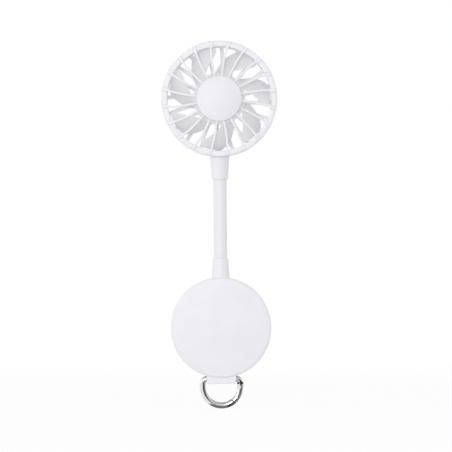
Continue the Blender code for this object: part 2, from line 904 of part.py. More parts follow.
def ring_gate():
    """Gate of the ring, forked over the bow's tongue."""
    half = ring_half_width
    points = [(half, gate_top_z), (half, ring_arc_z)]
    points += arc((0, ring_arc_z), half, 0, gate_end_deg - gate_overrun_deg, ring_arc_steps // 2)[1:]
    piece = piece_from(bar(ring_place(points), wire_radius, coarse_steps), "ring_gate", finish=chrome)
    reach = wire_radius + cut_overrun
    slot_half = tongue_thickness / 2 + slot_side_gap
    slot = block(
        (half - reach, mid_y - slot_half, gate_pivot_z - slot_depth),
        (half + reach, mid_y + slot_half, gate_top_z + cut_overrun),
    )
    knuckle = gate_top_z - gate_pivot_z
    corner = arc((half, gate_pivot_z), knuckle, 90, 180, 5)
    corner += [(half - reach, gate_pivot_z), (half - reach, gate_top_z + cut_overrun)]
    corner += [(half, gate_top_z + cut_overrun)]
    relief = prism(corner, mid_y - reach, mid_y + reach, along_y)
    hole = pin_bar(gate_pin_radius + gate_pin_clearance, reach)
    bore = bar(gate_bore_ends(-seat_gap, gate_bore_depth + seat_gap), gate_bore, coarse_steps)
    cut(
        piece,
        piece_from(slot, "gate_slot"),
        piece_from(relief, "gate_relief"),
        piece_from(hole, "gate_hole"),
        piece_from(bore, "gate_bore"),
        nose_cutter(-1),
    )
    move_origin(piece, gate_pivot())


def gate_plunger():
    """Plunger and its spring in the gate's bore."""
    inner = gate_bore - seat_gap
    plunger_bar = bar(gate_bore_ends(0, plunger_length), inner, coarse_steps)
    plunger = piece_from(plunger_bar, "gate_plunger", finish=steel)
    move_origin(plunger, gate_pivot())
    spring_length = gate_bore_depth - plunger_length - 2 * seat_gap
    spring_ends = gate_bore_ends(plunger_length + seat_gap, spring_length)
    spring = piece_from(bar(spring_ends, inner, coarse_steps), "gate_spring", finish=steel)
    hollow_ends = gate_bore_ends(plunger_length - seat_gap, spring_length + 4 * seat_gap)
    hollow = piece_from(bar(hollow_ends, inner - gate_spring_wall, coarse_steps), "spring_hollow")
    move_origin(cut(spring, hollow), gate_pivot())


def gate_pin():
    """Pin through the gate's fork and the bow's tongue."""
    pin = piece_from(pin_bar(gate_pin_radius, gate_pin_length / 2), "gate_pin", finish=steel)
    move_origin(pin, (0, mid_y, bar_z))


# Neck


def joint_z(number):
    """Height of a neck joint, counted from 1 at the base."""
    return first_joint_z + joint_pitch * (number - 1)


def ball_points(centre_z, ball, inner, outer, steps, outward):
    """Points on a ball's upper side between two radii, going out or in."""
    first, last = (inner, outer) if outward else (outer, inner)
    points = []
    for step in range(steps + 1):
        radius = first + (last - first) * step / steps
        points.append((radius, centre_z + math.sqrt(max(ball ** 2 - radius ** 2, 0))))
    return points


def segment_outline(number, inner, outer, low_end, high_end, seat_steps, dome_steps):
    """Outline of one neck segment, with a hollow seat below and a dome above."""
    socket = neck_radius + seat_gap
    if number == 1:
        points = [(inner, low_end), (outer, low_end)]
    else:
        points = ball_points(joint_z(number - 1), socket, inner, outer, seat_steps, True)
    if number == neck_joints + 1:
        points += [(outer, high_end), (inner, high_end)]
    else:
        points += ball_points(joint_z(number), neck_radius, inner, outer, dome_steps, False)
    return points


def neck():
    """Sleeve and core of the neck, one pair for each rigid segment."""
    sleeve_low = neck_bottom - sleeve_tuck
    sleeve_high = neck_top + sleeve_tuck
    core_low = sleeve_low - seat_gap - ferrule_length
    core_high = sleeve_high + seat_gap + ferrule_length
    steps = (sleeve_seat_steps, sleeve_dome_steps)
    for number in range(1, neck_joints + 2):
        sleeve = segment_outline(number, sleeve_bore, neck_radius, sleeve_low, sleeve_high, *steps)
        core = segment_outline(number, core_bore, core_radius, core_low, core_high, 1, 1)
        pieces = [
            piece_from(turned_z(sleeve, tube_steps), f"neck_sleeve_{number}", (0, mid_y, 0), white),
            piece_from(turned_z(core, coarse_steps), f"neck_core_{number}", (0, mid_y, 0), steel),
        ]
        if number > 1:
            for piece in pieces:
                move_origin(piece, (0, mid_y, joint_z(number - 1)))


def ferrules():
    """Crimped rings on the core's two ends."""
    inner = core_radius + seat_gap
    outer = inner + ferrule_wall
    low_top = neck_bottom - sleeve_tuck - 2 * seat_gap
    high_bottom = neck_top + sleeve_tuck + 2 * seat_gap
    place = (0, mid_y, 0)
    lower = tube(inner, outer, low_top - ferrule_length + seat_gap, low_top)
    upper = tube(inner, outer, high_bottom, high_bottom + ferrule_length - seat_gap)
    piece_from(turned_z(lower, tube_steps), "lower_ferrule", place, brass)
    piece_from(turned_z(upper, tube_steps), "upper_ferrule", place, brass)


def collar_bore(mouth, way):
    """Stepped bore of a collar, from its mouth inwards; way is -1 downwards and 1 upwards."""
    tuck = neck_radius + seat_gap
    ring = core_radius + 2 * seat_gap + ferrule_wall
    shelf = sleeve_tuck + seat_gap
    floor = shelf + ferrule_length + 2 * seat_gap
    depths = [
        (0, -cut_overrun),
        (tuck, -cut_overrun),
        (tuck, shelf),
        (ring, shelf),
        (ring, floor),
        (spigot_bore, floor),
        (spigot_bore, collar_bore_depth),
        (0, collar_bore_depth),
    ]
    return [(radius, mouth + way * depth) for radius, depth in depths]


def lower_collar():
    """Collar that stands on the disc's rim and holds the neck's lower end."""
    low = disc_radius - cut_overrun
    outline = [
        (0, low),
        (lower_collar_bottom, low),
        (lower_collar_bottom, disc_radius),
        (lower_collar_top, neck_bottom - collar_edge),
        (lower_collar_top - collar_edge, neck_bottom),
        (0, neck_bottom),
    ]
    place = (0, mid_y, 0)
    collar = piece_from(turned_z(outline, middle_steps), "lower_collar", place, white)
    disc = rod(disc_radius + seat_gap, front_y - cut_overrun, cut_overrun)
    cut(collar, piece_from(turned_y(disc, disc_steps), "disc_space"))
    flange_top = math.sqrt(cavity_radius ** 2 - (flange_width / 2) ** 2) - seat_gap
    flange_bottom = flange_top - flange_thickness
    spigot = rod(spigot_radius, flange_bottom + flange_thickness / 2, disc_radius + cut_overrun)
    flange = block(
        (-flange_width / 2, mid_y - flange_depth / 2, flange_bottom),
        (flange_width / 2, mid_y + flange_depth / 2, flange_top),
    )
    join(
        collar,
        piece_from(turned_z(spigot, tube_steps), "lower_spigot", place),
        piece_from(flange, "lower_flange"),
    )
    bore = turned_z(collar_bore(neck_bottom, -1), tube_steps)
    cut(collar, piece_from(bore, "lower_collar_bore", place))


def upper_collar():
    """Collar between the neck's upper end and the fan head's rim."""
    rim = head_z - head_radius
    high = rim + cut_overrun
    outline = [
        (0, neck_top),
        (upper_collar_bottom - collar_edge, neck_top),
        (upper_collar_bottom, neck_top + collar_edge),
        (upper_collar_top, rim),
        (upper_collar_top, high),
        (0, high),
    ]
    place = (0, mid_y, 0)
    collar = piece_from(turned_z(outline, middle_steps), "upper_collar", place, white)
    head = rod(head_radius + seat_gap, head_front - cut_overrun, head_rear + cut_overrun)
    cut(collar, piece_from(turned_y(head, disc_steps), "head_space", (0, mid_y, head_z)))
    inner_wall = head_radius - head_wall
    flange_bottom = head_z - math.sqrt(inner_wall ** 2 - (flange_width / 2) ** 2) + seat_gap
    flange_top = flange_bottom + flange_thickness
    spigot = rod(spigot_radius, rim - cut_overrun, flange_top - flange_thickness / 2)
    flange = block(
        (-flange_width / 2, mid_y - flange_depth / 2, flange_bottom),
        (flange_width / 2, mid_y + flange_depth / 2, flange_top),
    )
    join(
        collar,
        piece_from(turned_z(spigot, tube_steps), "upper_spigot", place),
        piece_from(flange, "upper_flange"),
    )
    bore = turned_z(collar_bore(neck_top, 1), tube_steps)
    cut(collar, piece_from(bore, "upper_collar_bore", place))
    return flange_top


def leads(upper_exit_z):
    """The twin motor lead: in the base, through the neck, and up the rear guard to the motor."""
    lower_exit_z = math.sqrt(cavity_radius ** 2 - (flange_width / 2) ** 2) - seat_gap - flange_thickness
    board_y = board_rear_y + seat_gap + lead_radius
    drop = lower_exit_z - board_top
    rib_x = -rib_hub_radius * math.sin(math.radians(rear_rib_first_deg))
    seat_y = mid_y + head_rear - rear_rib_setback - rear_rib_depth - seat_gap - lead_radius
    bell_y = mid_y + bell_rear + seat_gap + lead_radius
    route = [(0, board_y, board_top - drop / 2)]
    for step in range(lead_slope_steps):
        share = step / lead_slope_steps
        route.append((0, board_y + (mid_y - board_y) * share, board_top + drop * share))
    route.append((0, mid_y, lower_exit_z - 2 * seat_gap))
    base = bar(smooth_path(route, 2), lead_radius, lead_sides, lead_breadth_share)
    piece_from(base, "base_lead", finish=lead_red)
    ends = [(0, mid_y, lower_exit_z - seat_gap), (0, mid_y, upper_exit_z + seat_gap)]
    piece_from(bar(ends, lead_radius, lead_sides, lead_breadth_share), "neck_lead", finish=lead_red)
    start_z = upper_exit_z + 2 * seat_gap
    route = [
        (0, mid_y, start_z),
        (0, mid_y + lead_radius * 3, start_z + lead_radius * 2),
        (rib_x / 2, (mid_y + seat_y) / 2, start_z + lead_radius * 4),
        (rib_x, seat_y, start_z + lead_radius * 9),
        (rib_x, seat_y, (head_z + start_z) / 2),
        (rib_x, seat_y, head_z - hub_seat_radius - lead_radius),
        (rib_x, bell_y, head_z - motor_radius + lead_radius * 2),
        (rib_x, bell_y, head_z - motor_radius / 2),
    ]
    head = bar(smooth_path(route, 3), lead_radius, lead_sides, lead_breadth_share)
    piece_from(head, "head_lead", finish=lead_red)


# Fan head


def head_place():
    """Middle of the fan head."""
    return (0, mid_y, head_z)


def rim_outline(way):
    """Half of the head's rim with its lip; way is -1 for the front half and 1 for the rear."""
    lip = head_radius - lip_width
    depth = head_rear
    corner = arc((head_radius - head_edge, depth - head_edge), head_edge, 90, 0, 3)
    outline = [(lip, depth - lip_thickness), (lip, depth - lip_bevel), (lip + lip_bevel, depth)]
    outline += corner
    outline += [
        (head_radius, seat_gap / 2),
        (head_radius - head_wall, seat_gap / 2),
        (head_radius - head_wall, depth - lip_thickness),
    ]
    return [(radius, way * height) for radius, height in outline]


def bearing_point(radius, bearing_deg, y):
    """Point at a radius and a clockwise bearing from the top, seen from the front."""
    angle = math.radians(bearing_deg)
    return Vector((radius * math.sin(angle), y, radius * math.cos(angle)))


def add_rib(bm, stations):
    """Add one rib; each station is (radius, bearing, half width, front y, rear y)."""
    rings = []
    for radius, bearing, half, front, rear in stations:
        side = bearing_point(half, bearing + 90, 0)
        low = bearing_point(radius, bearing, front)
        high = bearing_point(radius, bearing, rear)
        rings.append([bm.verts.new(point) for point in (low - side, low + side, high + side, high - side)])
    for first, second in zip(rings, rings[1:]):
        for index in range(4):
            after = (index + 1) % 4
            bm.faces.new((first[index], first[after], second[after], second[index]))
    bm.faces.new(list(reversed(rings[0])))
    bm.faces.new(rings[-1])


def front_ribs():
    """Ribs of the front guard, over the rim's lip to its outer edge."""
    bm = bmesh.new()
    inner = rib_hub_radius
    outer = head_radius - rib_end_inset
    rim_y = head_front - front_rib_raise
    hub_y = hub_front + front_rib_raise / 2
    for number in range(rib_count):
        stations = []
        for step in range(rib_steps + 1):
            share = step / rib_steps
            radius = inner + (outer - inner) * share
            bearing = front_rib_first_deg + 360 / rib_count * number
            bearing += front_rib_sweep_deg * share ** 2 - front_rib_lead_deg * share
            front = hub_y + (rim_y - hub_y) * share ** 2
            stations.append((radius, bearing, front_rib_width / 2, front, front + front_rib_depth))
        add_rib(bm, stations)
    return piece_from(bm, "front_ribs", head_place())


def rim_block():
    """Flat block on the rim above the collar, between two ribs."""
    inner = head_radius - lip_width + lip_bevel
    outer = head_radius - rib_end_inset
    outline = []
    for radius, first, last in (
        (outer, rim_block_first_deg, rim_block_last_deg),
        (inner, rim_block_last_deg, rim_block_first_deg),
    ):
        for step in range(rim_block_steps + 1):
            point = bearing_point(radius, first + (last - first) * step / rim_block_steps, 0)
            outline.append((point.x, point.z))
    front = head_front - rim_block_raise
    return piece_from(prism(outline, front, front + lip_thickness, along_y), "rim_block", head_place())


def collar_notch(name):
    """Cutter for the hole in the rim that the collar's spigot passes."""
    rim = head_z - head_radius
    outline = rod(spigot_radius + seat_gap, rim - cut_overrun, rim + head_wall + cut_overrun / 2)
    return piece_from(turned_z(outline, tube_steps), name, (0, mid_y, 0))


def front_guard():
    """Front half of the rim, the hub seat and the ribs between them."""
    guard = piece_from(turned_y(rim_outline(-1), disc_steps), "front_guard", head_place(), white)
    seat = rod(hub_seat_radius, hub_front, hub_front + hub_seat_thickness)
    join(guard, piece_from(turned_y(seat, middle_steps), "hub_seat", head_place()), front_ribs(), rim_block())
    cut(guard, collar_notch("front_collar_notch"))


def centre_cap():
    """Smooth domed cap on the hub seat."""
    rear = hub_front - seat_gap
    edge = rear - cap_edge
    ball = (cap_radius ** 2 + cap_height ** 2) / (2 * cap_height)
    inner_ball = ball - cap_wall
    centre = edge - cap_height + ball
    outline = []
    for step in range(cap_steps + 1):
        radius = cap_radius * step / cap_steps
        outline.append((radius, centre - math.sqrt(ball ** 2 - radius ** 2)))
    inner_radius = cap_radius - cap_wall
    outline += [(cap_radius, rear), (inner_radius, rear)]
    for step in range(cap_inner_steps + 1):
        radius = inner_radius * (1 - step / cap_inner_steps)
        outline.append((radius, centre - math.sqrt(inner_ball ** 2 - radius ** 2)))
    piece_from(turned_y(outline, middle_steps), "centre_cap", head_place(), white)


def rear_ribs():
    """Wide ribs of the rear guard, swept the other way."""
    bm = bmesh.new()
    inner = rib_hub_radius
    outer = head_radius - head_wall / 2
    rear = head_rear - rear_rib_setback
    for number in range(rib_count):
        stations = []
        for step in range(rib_steps + 1):
            share = step / rib_steps
            radius = inner + (outer - inner) * share
            bearing = rear_rib_first_deg + 360 / rib_count * number + rear_rib_sweep_deg * share ** 2
            stations.append((radius, bearing, rear_rib_width / 2, rear - rear_rib_depth, rear))
        add_rib(bm, stations)
    return piece_from(bm, "rear_ribs", head_place())


def rear_guard():
    """Rear half of the rim, the ribs, and the cup that holds the motor."""
    guard = piece_from(turned_y(rim_outline(1), disc_steps), "rear_guard", head_place(), white)
    cup_inner = motor_radius + seat_gap
    cup_outer = cup_inner + cup_wall
    seat_front = head_rear - hub_seat_thickness - rear_rib_setback
    mouth = fan_plate_front + fan_hub_depth + cup_mouth_gap
    outline = [
        (0, head_rear),
        (hub_seat_radius - head_edge, head_rear),
        (hub_seat_radius, head_rear - head_edge),
        (hub_seat_radius, seat_front),
        (cup_outer, seat_front),
        (cup_outer, mouth),
        (cup_inner, mouth),
        (cup_inner, cup_floor),
        (0, cup_floor),
    ]
    join(guard, piece_from(turned_y(outline, middle_steps), "motor_cup", head_place()), rear_ribs())
    rib_x = -rib_hub_radius * math.sin(math.radians(rear_rib_first_deg))
    notch = block(
        (rib_x - lead_notch_width / 2, bell_front, -cup_outer - cut_overrun),
        (rib_x + lead_notch_width / 2, cup_floor - seat_gap, -cup_inner + cut_overrun),
    )
    cut(guard, piece_from(notch, "lead_notch", head_place()), collar_notch("rear_collar_notch"))


def blade_bearings(share):
    """Bearings of the blade's two edges at a share of its length."""
    lead = blade_lead_first_deg + blade_lead_sweep_deg * share ** blade_lead_power
    trail = blade_trail_first_deg + blade_trail_sweep_deg * (1 - (1 - share) ** blade_trail_power)
    return lead, trail


def add_blade(bm, number):
    """Add one swept blade, its front skin and its rear skin closed round the edge."""
    inner = fan_hub_radius - fan_hub_wall / 2
    front_edge = fan_plate_front + blade_front_clearance
    rear_edge = front_edge + blade_depth
    skins = []
    for lift in (0, blade_thickness):
        grid = []
        for row in range(blade_radial_steps + 1):
            share = row / blade_radial_steps
            radius = inner + (blade_radius - inner) * share
            lead, trail = blade_bearings(share)
            trim = (trail - lead) * blade_corner_share * share ** blade_corner_power
            line = []
            for column in range(blade_chord_steps + 1):
                across = column / blade_chord_steps
                bearing = lead + trim + (trail - lead - 2 * trim) * across + 360 / blade_count * number
                bow = math.sin(math.pi * across) * blade_bow
                y = rear_edge + (front_edge - rear_edge) * across + lift - bow
                line.append(bm.verts.new(bearing_point(radius, bearing, y)))
            grid.append(line)
        skins.append(grid)
    front, rear = skins
    for row in range(blade_radial_steps):
        for column in range(blade_chord_steps):
            for skin in skins:
                bm.faces.new(
                    (
                        skin[row][column],
                        skin[row][column + 1],
                        skin[row + 1][column + 1],
                        skin[row + 1][column],
                    )
                )
    outline = [(row, 0) for row in range(blade_radial_steps + 1)]
    outline += [(blade_radial_steps, column) for column in range(1, blade_chord_steps + 1)]
    outline += [(row, blade_chord_steps) for row in range(blade_radial_steps - 1, -1, -1)]
    outline += [(0, column) for column in range(blade_chord_steps - 1, 0, -1)]
    for (row, column), (next_row, next_column) in zip(outline, outline[1:] + outline[:1]):
        bm.faces.new(
            (
                front[row][column],
                front[next_row][next_column],
                rear[next_row][next_column],
                rear[row][column],
            )
        )


def impeller():
    """Cup-shaped hub with its swept blades."""
    rear = fan_plate_front + fan_hub_depth
    inner = fan_hub_radius - fan_hub_wall
    bore = shaft_radius + shaft_clearance
    outline = [
        (bore, fan_plate_front - boss_rise),
        (boss_radius, fan_plate_front - boss_rise),
        (boss_radius, fan_plate_front),
    ]
    outline += arc((fan_hub_radius - fan_hub_edge, fan_plate_front + fan_hub_edge), fan_hub_edge, -90, 0, 3)
    outline += [
        (fan_hub_radius, rear),
        (inner, rear),
        (inner, fan_plate_front + fan_hub_wall),
        (bore, fan_plate_front + fan_hub_wall),
    ]
    wheel = piece_from(turned_y(outline, middle_steps), "impeller", head_place(), shade_white)
    blades = bmesh.new()
    for number in range(blade_count):
        add_blade(blades, number)
    join(wheel, piece_from(blades, "blades", head_place()))


def motor():
    """Brushed motor: can, magnet, bush, end bell, armature and shaft."""
    place = head_place()
    bush_outer = shaft_radius + shaft_clearance + bush_wall
    hole = bush_outer + seat_gap
    inner = motor_radius - motor_wall
    can = [
        (hole, motor_front),
        (motor_radius, motor_front),
        (motor_radius, motor_rear),
        (inner, motor_rear),
        (inner, motor_front + motor_wall),
        (hole, motor_front + motor_wall),
    ]
    piece_from(turned_y(can, middle_steps), "motor_can", place, steel)
    bush_rear = motor_front + 2 * motor_wall
    bush = tube(shaft_radius + shaft_clearance, bush_outer, motor_front - bush_proud, bush_rear)
    piece_from(turned_y(bush, coarse_steps), "motor_bush", place, brass)
    middle = (motor_front + motor_wall + motor_rear) / 2
    motor_magnet(inner - seat_gap, middle)
    motor_armature(middle)
    bell = [
        (shaft_radius + shaft_clearance, bell_front),
        (motor_radius - bell_inset, bell_front),
        (motor_radius - bell_inset, bell_rear),
        (bell_boss_radius, bell_rear),
        (bell_boss_radius, bell_rear + bell_boss_height),
        (shaft_radius + shaft_clearance, bell_rear + bell_boss_height),
    ]
    piece_from(turned_y(bell, middle_steps), "motor_end_bell", place, black_plastic)
    shaft_front = fan_plate_front - boss_rise + seat_gap
    shaft = rod(shaft_radius, shaft_front, bell_rear + bell_boss_height - seat_gap)
    piece_from(turned_y(shaft, coarse_steps), "motor_shaft", place, steel)


def motor_magnet(outer, middle):
    """Round magnet inside the can."""
    half = motor_magnet_length / 2
    outline = tube(outer - motor_magnet_thickness, outer, middle - half, middle + half)
    piece_from(turned_y(outline, middle_steps), "motor_magnet", head_place(), ferrite)


def motor_armature(middle):
    """Three-pole armature on the shaft."""
    outline = []
    under_pole = armature_radius - armature_pole_thickness
    half_head = armature_pole_deg / 2
    half_stem = armature_stem_deg / 2
    for pole in range(armature_poles):
        centre = 360 / armature_poles * pole
        outline.append(polar(armature_hub, centre - half_stem))
        outline.append(polar(under_pole, centre - half_stem / 2))
        outline.append(polar(under_pole, centre - half_head))
        outline += arc((0, 0), armature_radius, centre - half_head, centre + half_head, 6)
        outline.append(polar(under_pole, centre + half_head))
        outline.append(polar(under_pole, centre + half_stem / 2))
        outline.append(polar(armature_hub, centre + half_stem))
    low = middle - armature_length / 2
    high = middle + armature_length / 2
    body = piece_from(prism(outline, low, high, along_y), "motor_armature", head_place(), copper)
    bore = rod(shaft_radius + shaft_clearance, low - cut_overrun, high + cut_overrun)
    cut(body, piece_from(turned_y(bore, coarse_steps), "armature_bore", head_place()))


def main():
    """Build every piece."""
    clear_scene()
    front_cover()
    rear_cover()
    rear_pad()
    cover_screws()
    magnets()
    battery()
    circuit_board()
    usb_socket()
    small_parts()
    light_pipe()
    power_button()
    ring_bow()
    ring_gate()
    gate_plunger()
    gate_pin()
    neck()
    ferrules()
    lower_collar()
    exit_z = upper_collar()
    leads(exit_z)
    front_guard()
    centre_cap()
    rear_guard()
    impeller()
    motor()


main()
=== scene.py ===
import json
import math

import bmesh
import bpy
from bpy.props import FloatProperty, FloatVectorProperty, IntProperty, PointerProperty
from mathutils import Matrix, Vector


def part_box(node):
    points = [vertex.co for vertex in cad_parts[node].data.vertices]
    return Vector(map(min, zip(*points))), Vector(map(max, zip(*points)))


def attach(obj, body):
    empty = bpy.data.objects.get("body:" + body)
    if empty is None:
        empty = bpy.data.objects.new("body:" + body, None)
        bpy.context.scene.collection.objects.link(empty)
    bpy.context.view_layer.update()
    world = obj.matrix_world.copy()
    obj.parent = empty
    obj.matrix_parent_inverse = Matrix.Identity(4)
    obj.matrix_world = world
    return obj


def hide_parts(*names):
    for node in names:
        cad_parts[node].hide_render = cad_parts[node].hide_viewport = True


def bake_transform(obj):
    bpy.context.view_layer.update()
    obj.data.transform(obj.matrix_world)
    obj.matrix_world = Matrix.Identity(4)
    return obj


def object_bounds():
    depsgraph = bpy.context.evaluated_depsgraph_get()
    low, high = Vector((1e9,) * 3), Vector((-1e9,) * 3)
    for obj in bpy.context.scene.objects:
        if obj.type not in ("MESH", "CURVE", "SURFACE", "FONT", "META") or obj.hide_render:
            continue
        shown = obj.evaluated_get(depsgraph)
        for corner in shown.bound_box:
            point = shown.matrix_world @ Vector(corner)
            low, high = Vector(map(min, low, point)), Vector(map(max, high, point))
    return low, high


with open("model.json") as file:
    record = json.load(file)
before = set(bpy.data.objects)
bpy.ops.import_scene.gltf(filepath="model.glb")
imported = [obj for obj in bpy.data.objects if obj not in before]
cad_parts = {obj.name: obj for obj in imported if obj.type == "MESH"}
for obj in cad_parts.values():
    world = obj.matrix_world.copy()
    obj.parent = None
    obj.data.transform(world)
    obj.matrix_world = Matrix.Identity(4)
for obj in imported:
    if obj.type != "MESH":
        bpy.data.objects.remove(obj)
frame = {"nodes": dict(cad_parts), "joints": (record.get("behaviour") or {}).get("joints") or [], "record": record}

bl_info = {
    "name": "Phone fan",
    "version": (1, 0, 0),
    "blender": (4, 5, 0),
    "location": "3D View > Sidebar > Phone fan",
    "description": "Finished pieces and a plain stage for a small fan on a bendable neck",
    "category": "Object",
}

MM = 0.001


# Places read from the frame


def middle_of(node):
    """Middle of a CAD node's box."""
    low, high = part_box(node)
    return (low + high) / 2


def size_of(node):
    """Size of a CAD node's box."""
    low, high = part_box(node)
    return high - low


cad_low, cad_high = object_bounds()
joints = {joint["name"]: joint for joint in frame["joints"]}
neck_joints = [joint for joint in frame["joints"] if joint["name"].startswith("neck_")]
mid_y = middle_of("neck_core_1").y
head_centre = Vector((0, mid_y, middle_of("front_guard").z))
head_rim_z = head_centre.z - size_of("front_guard").z / 2
head_depth = 2 * (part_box("rear_guard")[1].y - mid_y)
disc_front_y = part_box("front_cover")[0].y
shell_rear_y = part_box("rear_cover")[1].y
pad_front_y, pad_rear_y = (corner.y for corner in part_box("rear_pad"))
ring_bar_z = joints["ring_swing"]["pos_m"][2]
gate_pivot = Vector(joints["gate_open"]["pos_m"])

# Gaps, fillets and cutter lengths shared by the pieces
gap = 0.3 * MM
fine_fillet = 0.12 * MM
small_fillet = 0.3 * MM
overrun = 2.0 * MM
weld = 0.0001 * MM

# Ways from side to side and from front to rear
sideways = Vector((1, 0, 0))
depthwise = Vector((0, 1, 0))

# Angle over which an edge is shaded sharp
sharp_angle = math.radians(38)

# Steps round a full turn, and along a fillet
rod_steps = 32
wire_steps = 40
tube_steps = 64
collar_steps = 128
wheel_steps = 128
disc_steps = 192
shaper_steps = 384
floor_steps = 96
fillet_steps = 5

# Height of the rows in the neck's lengths
sleeve_row = 0.4 * MM
lead_row = 0.6 * MM


# Settings


def length(name, description, default):
    """A length that the user can change, in metres."""
    return FloatProperty(
        name=name, description=description, default=default, min=0, precision=5, unit="LENGTH"
    )


def angle(name, description, degrees):
    """An angle that the user can change."""
    return FloatProperty(name=name, description=description, default=math.radians(degrees), unit="ROTATION")


def amount(name, description, default, **more):
    """A plain number, zero or more, that the user can change."""
    return FloatProperty(name=name, description=description, default=default, min=0, **more)


def offset(name, description, default):
    """A distance along X, Y and Z that the user can change."""
    return FloatVectorProperty(
        name=name, description=description, default=default, size=3, subtype="TRANSLATION", unit="LENGTH"
    )


def colour(name, description, default):
    """A colour that the user can change."""
    return FloatVectorProperty(
        name=name, description=description, default=default, size=3, min=0, max=1, subtype="COLOR"
    )


class HeadSettings(bpy.types.PropertyGroup):
    """Sizes of the fan head and of the wheel inside it."""

    radius: length("Head radius", "Outer radius of the round rim", size_of("front_guard").x / 2)
    depth: length("Head depth", "Depth of the rim, front lip to rear lip", head_depth)
    wall: length("Rim wall", "Thickness of the rim's round wall", 1.6 * MM)
    lip_width: length("Lip width", "Width of the flat lip, seen from the front", 3.8 * MM)
    lip_thickness: length("Lip thickness", "Thickness of the flat lip", 1.6 * MM)
    edge: length("Rim edge", "Rounding of the rim's outer edge", 1.2 * MM)
    hub_radius: length("Hub seat radius", "Radius of the plates that the ribs end on", 14.2 * MM)
    hub_rise: length("Hub rise", "How far the front hub stands before the rim", 1.4 * MM)
    hub_thickness: length("Hub seat thickness", "Thickness of the front hub seat", 1.5 * MM)
    cap_radius: length("Cap radius", "Radius of the domed centre cap", size_of("centre_cap").x / 2)
    cap_height: length("Cap height", "Height of the cap's dome", 3.0 * MM)
    cap_edge: length("Cap edge", "Height of the cap's straight side", 0.6 * MM)
    cap_wall: length("Cap wall", "Wall of the cap", 1.2 * MM)
    rib_count: IntProperty(name="Ribs", description="Ribs of each guard", default=20, min=3)
    rib_first: angle("First rib", "Bearing of the first front rib, clockwise from the top", 6.9)
    rib_sweep: angle("Rib sweep", "How far a front rib curves by the rim", 5.2)
    rib_lead: angle("Rib lead", "How far a front rib leans back at its start", 1.4)
    rib_width: length("Rib width", "Width of a front rib", 1.45 * MM)
    rib_rim_width: length("Rib width on the rim", "Width of a front rib where it crosses the rim", 2.3 * MM)
    rib_depth: length("Rib depth", "Depth of a front rib", 1.8 * MM)
    rib_raise: length("Rib raise", "How far a front rib stands above the rim", 0.35 * MM)
    block_raise: length("Block raise", "How far the flat block stands above the rim", 0.28 * MM)
    block_first: angle("Block start", "Bearing where the rim's flat block starts", 172.0)
    block_last: angle("Block end", "Bearing where the rim's flat block ends", 189.4)
    rear_rib_first: angle("First rear rib", "Bearing of the first rear rib", 6.0)
    rear_rib_sweep: angle("Rear rib sweep", "How far a rear rib curves by the rim", -4.0)
    rear_rib_width: length("Rear rib width", "Width of a rear rib", 2.5 * MM)
    rear_rib_depth: length("Rear rib depth", "Depth of a rear rib", 2.0 * MM)
    rear_rib_setback: length("Rear rib setback", "How far the rear ribs lie inside the rim's face", 0.4 * MM)
    cup_room: length("Cup room", "From the fan wheel's rear to the mouth of the motor's cup", 3.2 * MM)
    cup_floor: length("Cup floor", "From the end bell's rear to the floor of the cup", 0.9 * MM)
    wheel_boss: length("Boss radius", "Radius of the boss on the fan wheel", 2.6 * MM)
    wheel_boss_rise: length("Boss rise", "How far the boss stands before the hub", 1.0 * MM)
    wheel_bore: length("Wheel bore", "Radius of the bore for the motor's shaft", 1.1 * MM)
    wheel_edge: length("Wheel edge", "Rounding of the hub's front edge", 0.8 * MM)
    wheel_hub_radius: length("Wheel hub radius", "Radius of the fan wheel's hub", 16.8 * MM)
    wheel_hub_depth: length("Wheel hub depth", "Depth of the fan wheel's hub", 9.3 * MM)
    wheel_hub_wall: length("Wheel hub wall", "Wall of the fan wheel's hub", 1.2 * MM)
    blade_count: IntProperty(name="Blades", description="Blades of the fan wheel", default=7, min=2)
    blade_radius: length("Blade radius", "Radius of the blades' tips", 33.0 * MM)
    blade_depth: length("Blade depth", "Depth that a blade sweeps through", 7.6 * MM)
    blade_thickness: length("Blade thickness", "Thickness of a blade", 1.1 * MM)
    blade_setback: length("Blade setback", "How far the blades start behind the hub's front", 1.1 * MM)


class NeckSettings(bpy.types.PropertyGroup):
    """Sizes of the neck, its collars and the lead in it."""

    radius: length("Neck radius", "Radius of the sleeve", size_of("neck_sleeve_2").x / 2)
    bore: length("Neck bore", "Radius inside the sleeve", 2.6 * MM)
    core: length("Core", "Radius of the wound steel core", size_of("neck_core_2").x / 2)
    core_bore: length("Core bore", "Radius inside the core", 1.55 * MM)
    core_groove: length("Core groove", "Depth between the turns of the core", 0.1 * MM)
    tuck: length("Neck tuck", "How far the sleeve reaches into each collar", 2.7 * MM)
    lower_mouth: length("Lower collar", "Radius of the lower collar at its mouth", 5.0 * MM)
    lower_foot: length("Lower collar foot", "Radius of the lower collar on the disc", 5.7 * MM)
    upper_mouth: length("Upper collar", "Radius of the upper collar at its mouth", 5.2 * MM)
    upper_top: length("Upper collar top", "Radius of the upper collar on the rim", 6.2 * MM)
    seat: length("Ferrule seat", "Radius of the bore that holds a ferrule", 3.5 * MM)
    seat_depth: length("Ferrule seat depth", "Depth of that bore behind the sleeve", 6.6 * MM)
    throat: length("Throat", "Radius of the passage for the lead", 1.9 * MM)
    spigot: length("Spigot", "Radius of a collar's spigot", 3.1 * MM)
    flange_width: length("Flange width", "Width of the flange inside the shell", 10.0 * MM)
    flange_depth: length("Flange depth", "Depth of the flange inside the shell", 5.4 * MM)
    flange_height: length("Flange height", "Height of the flange inside the shell", 1.2 * MM)
    lead_wire: length("Lead", "Radius of each conductor of a twin lead", 0.42 * MM)


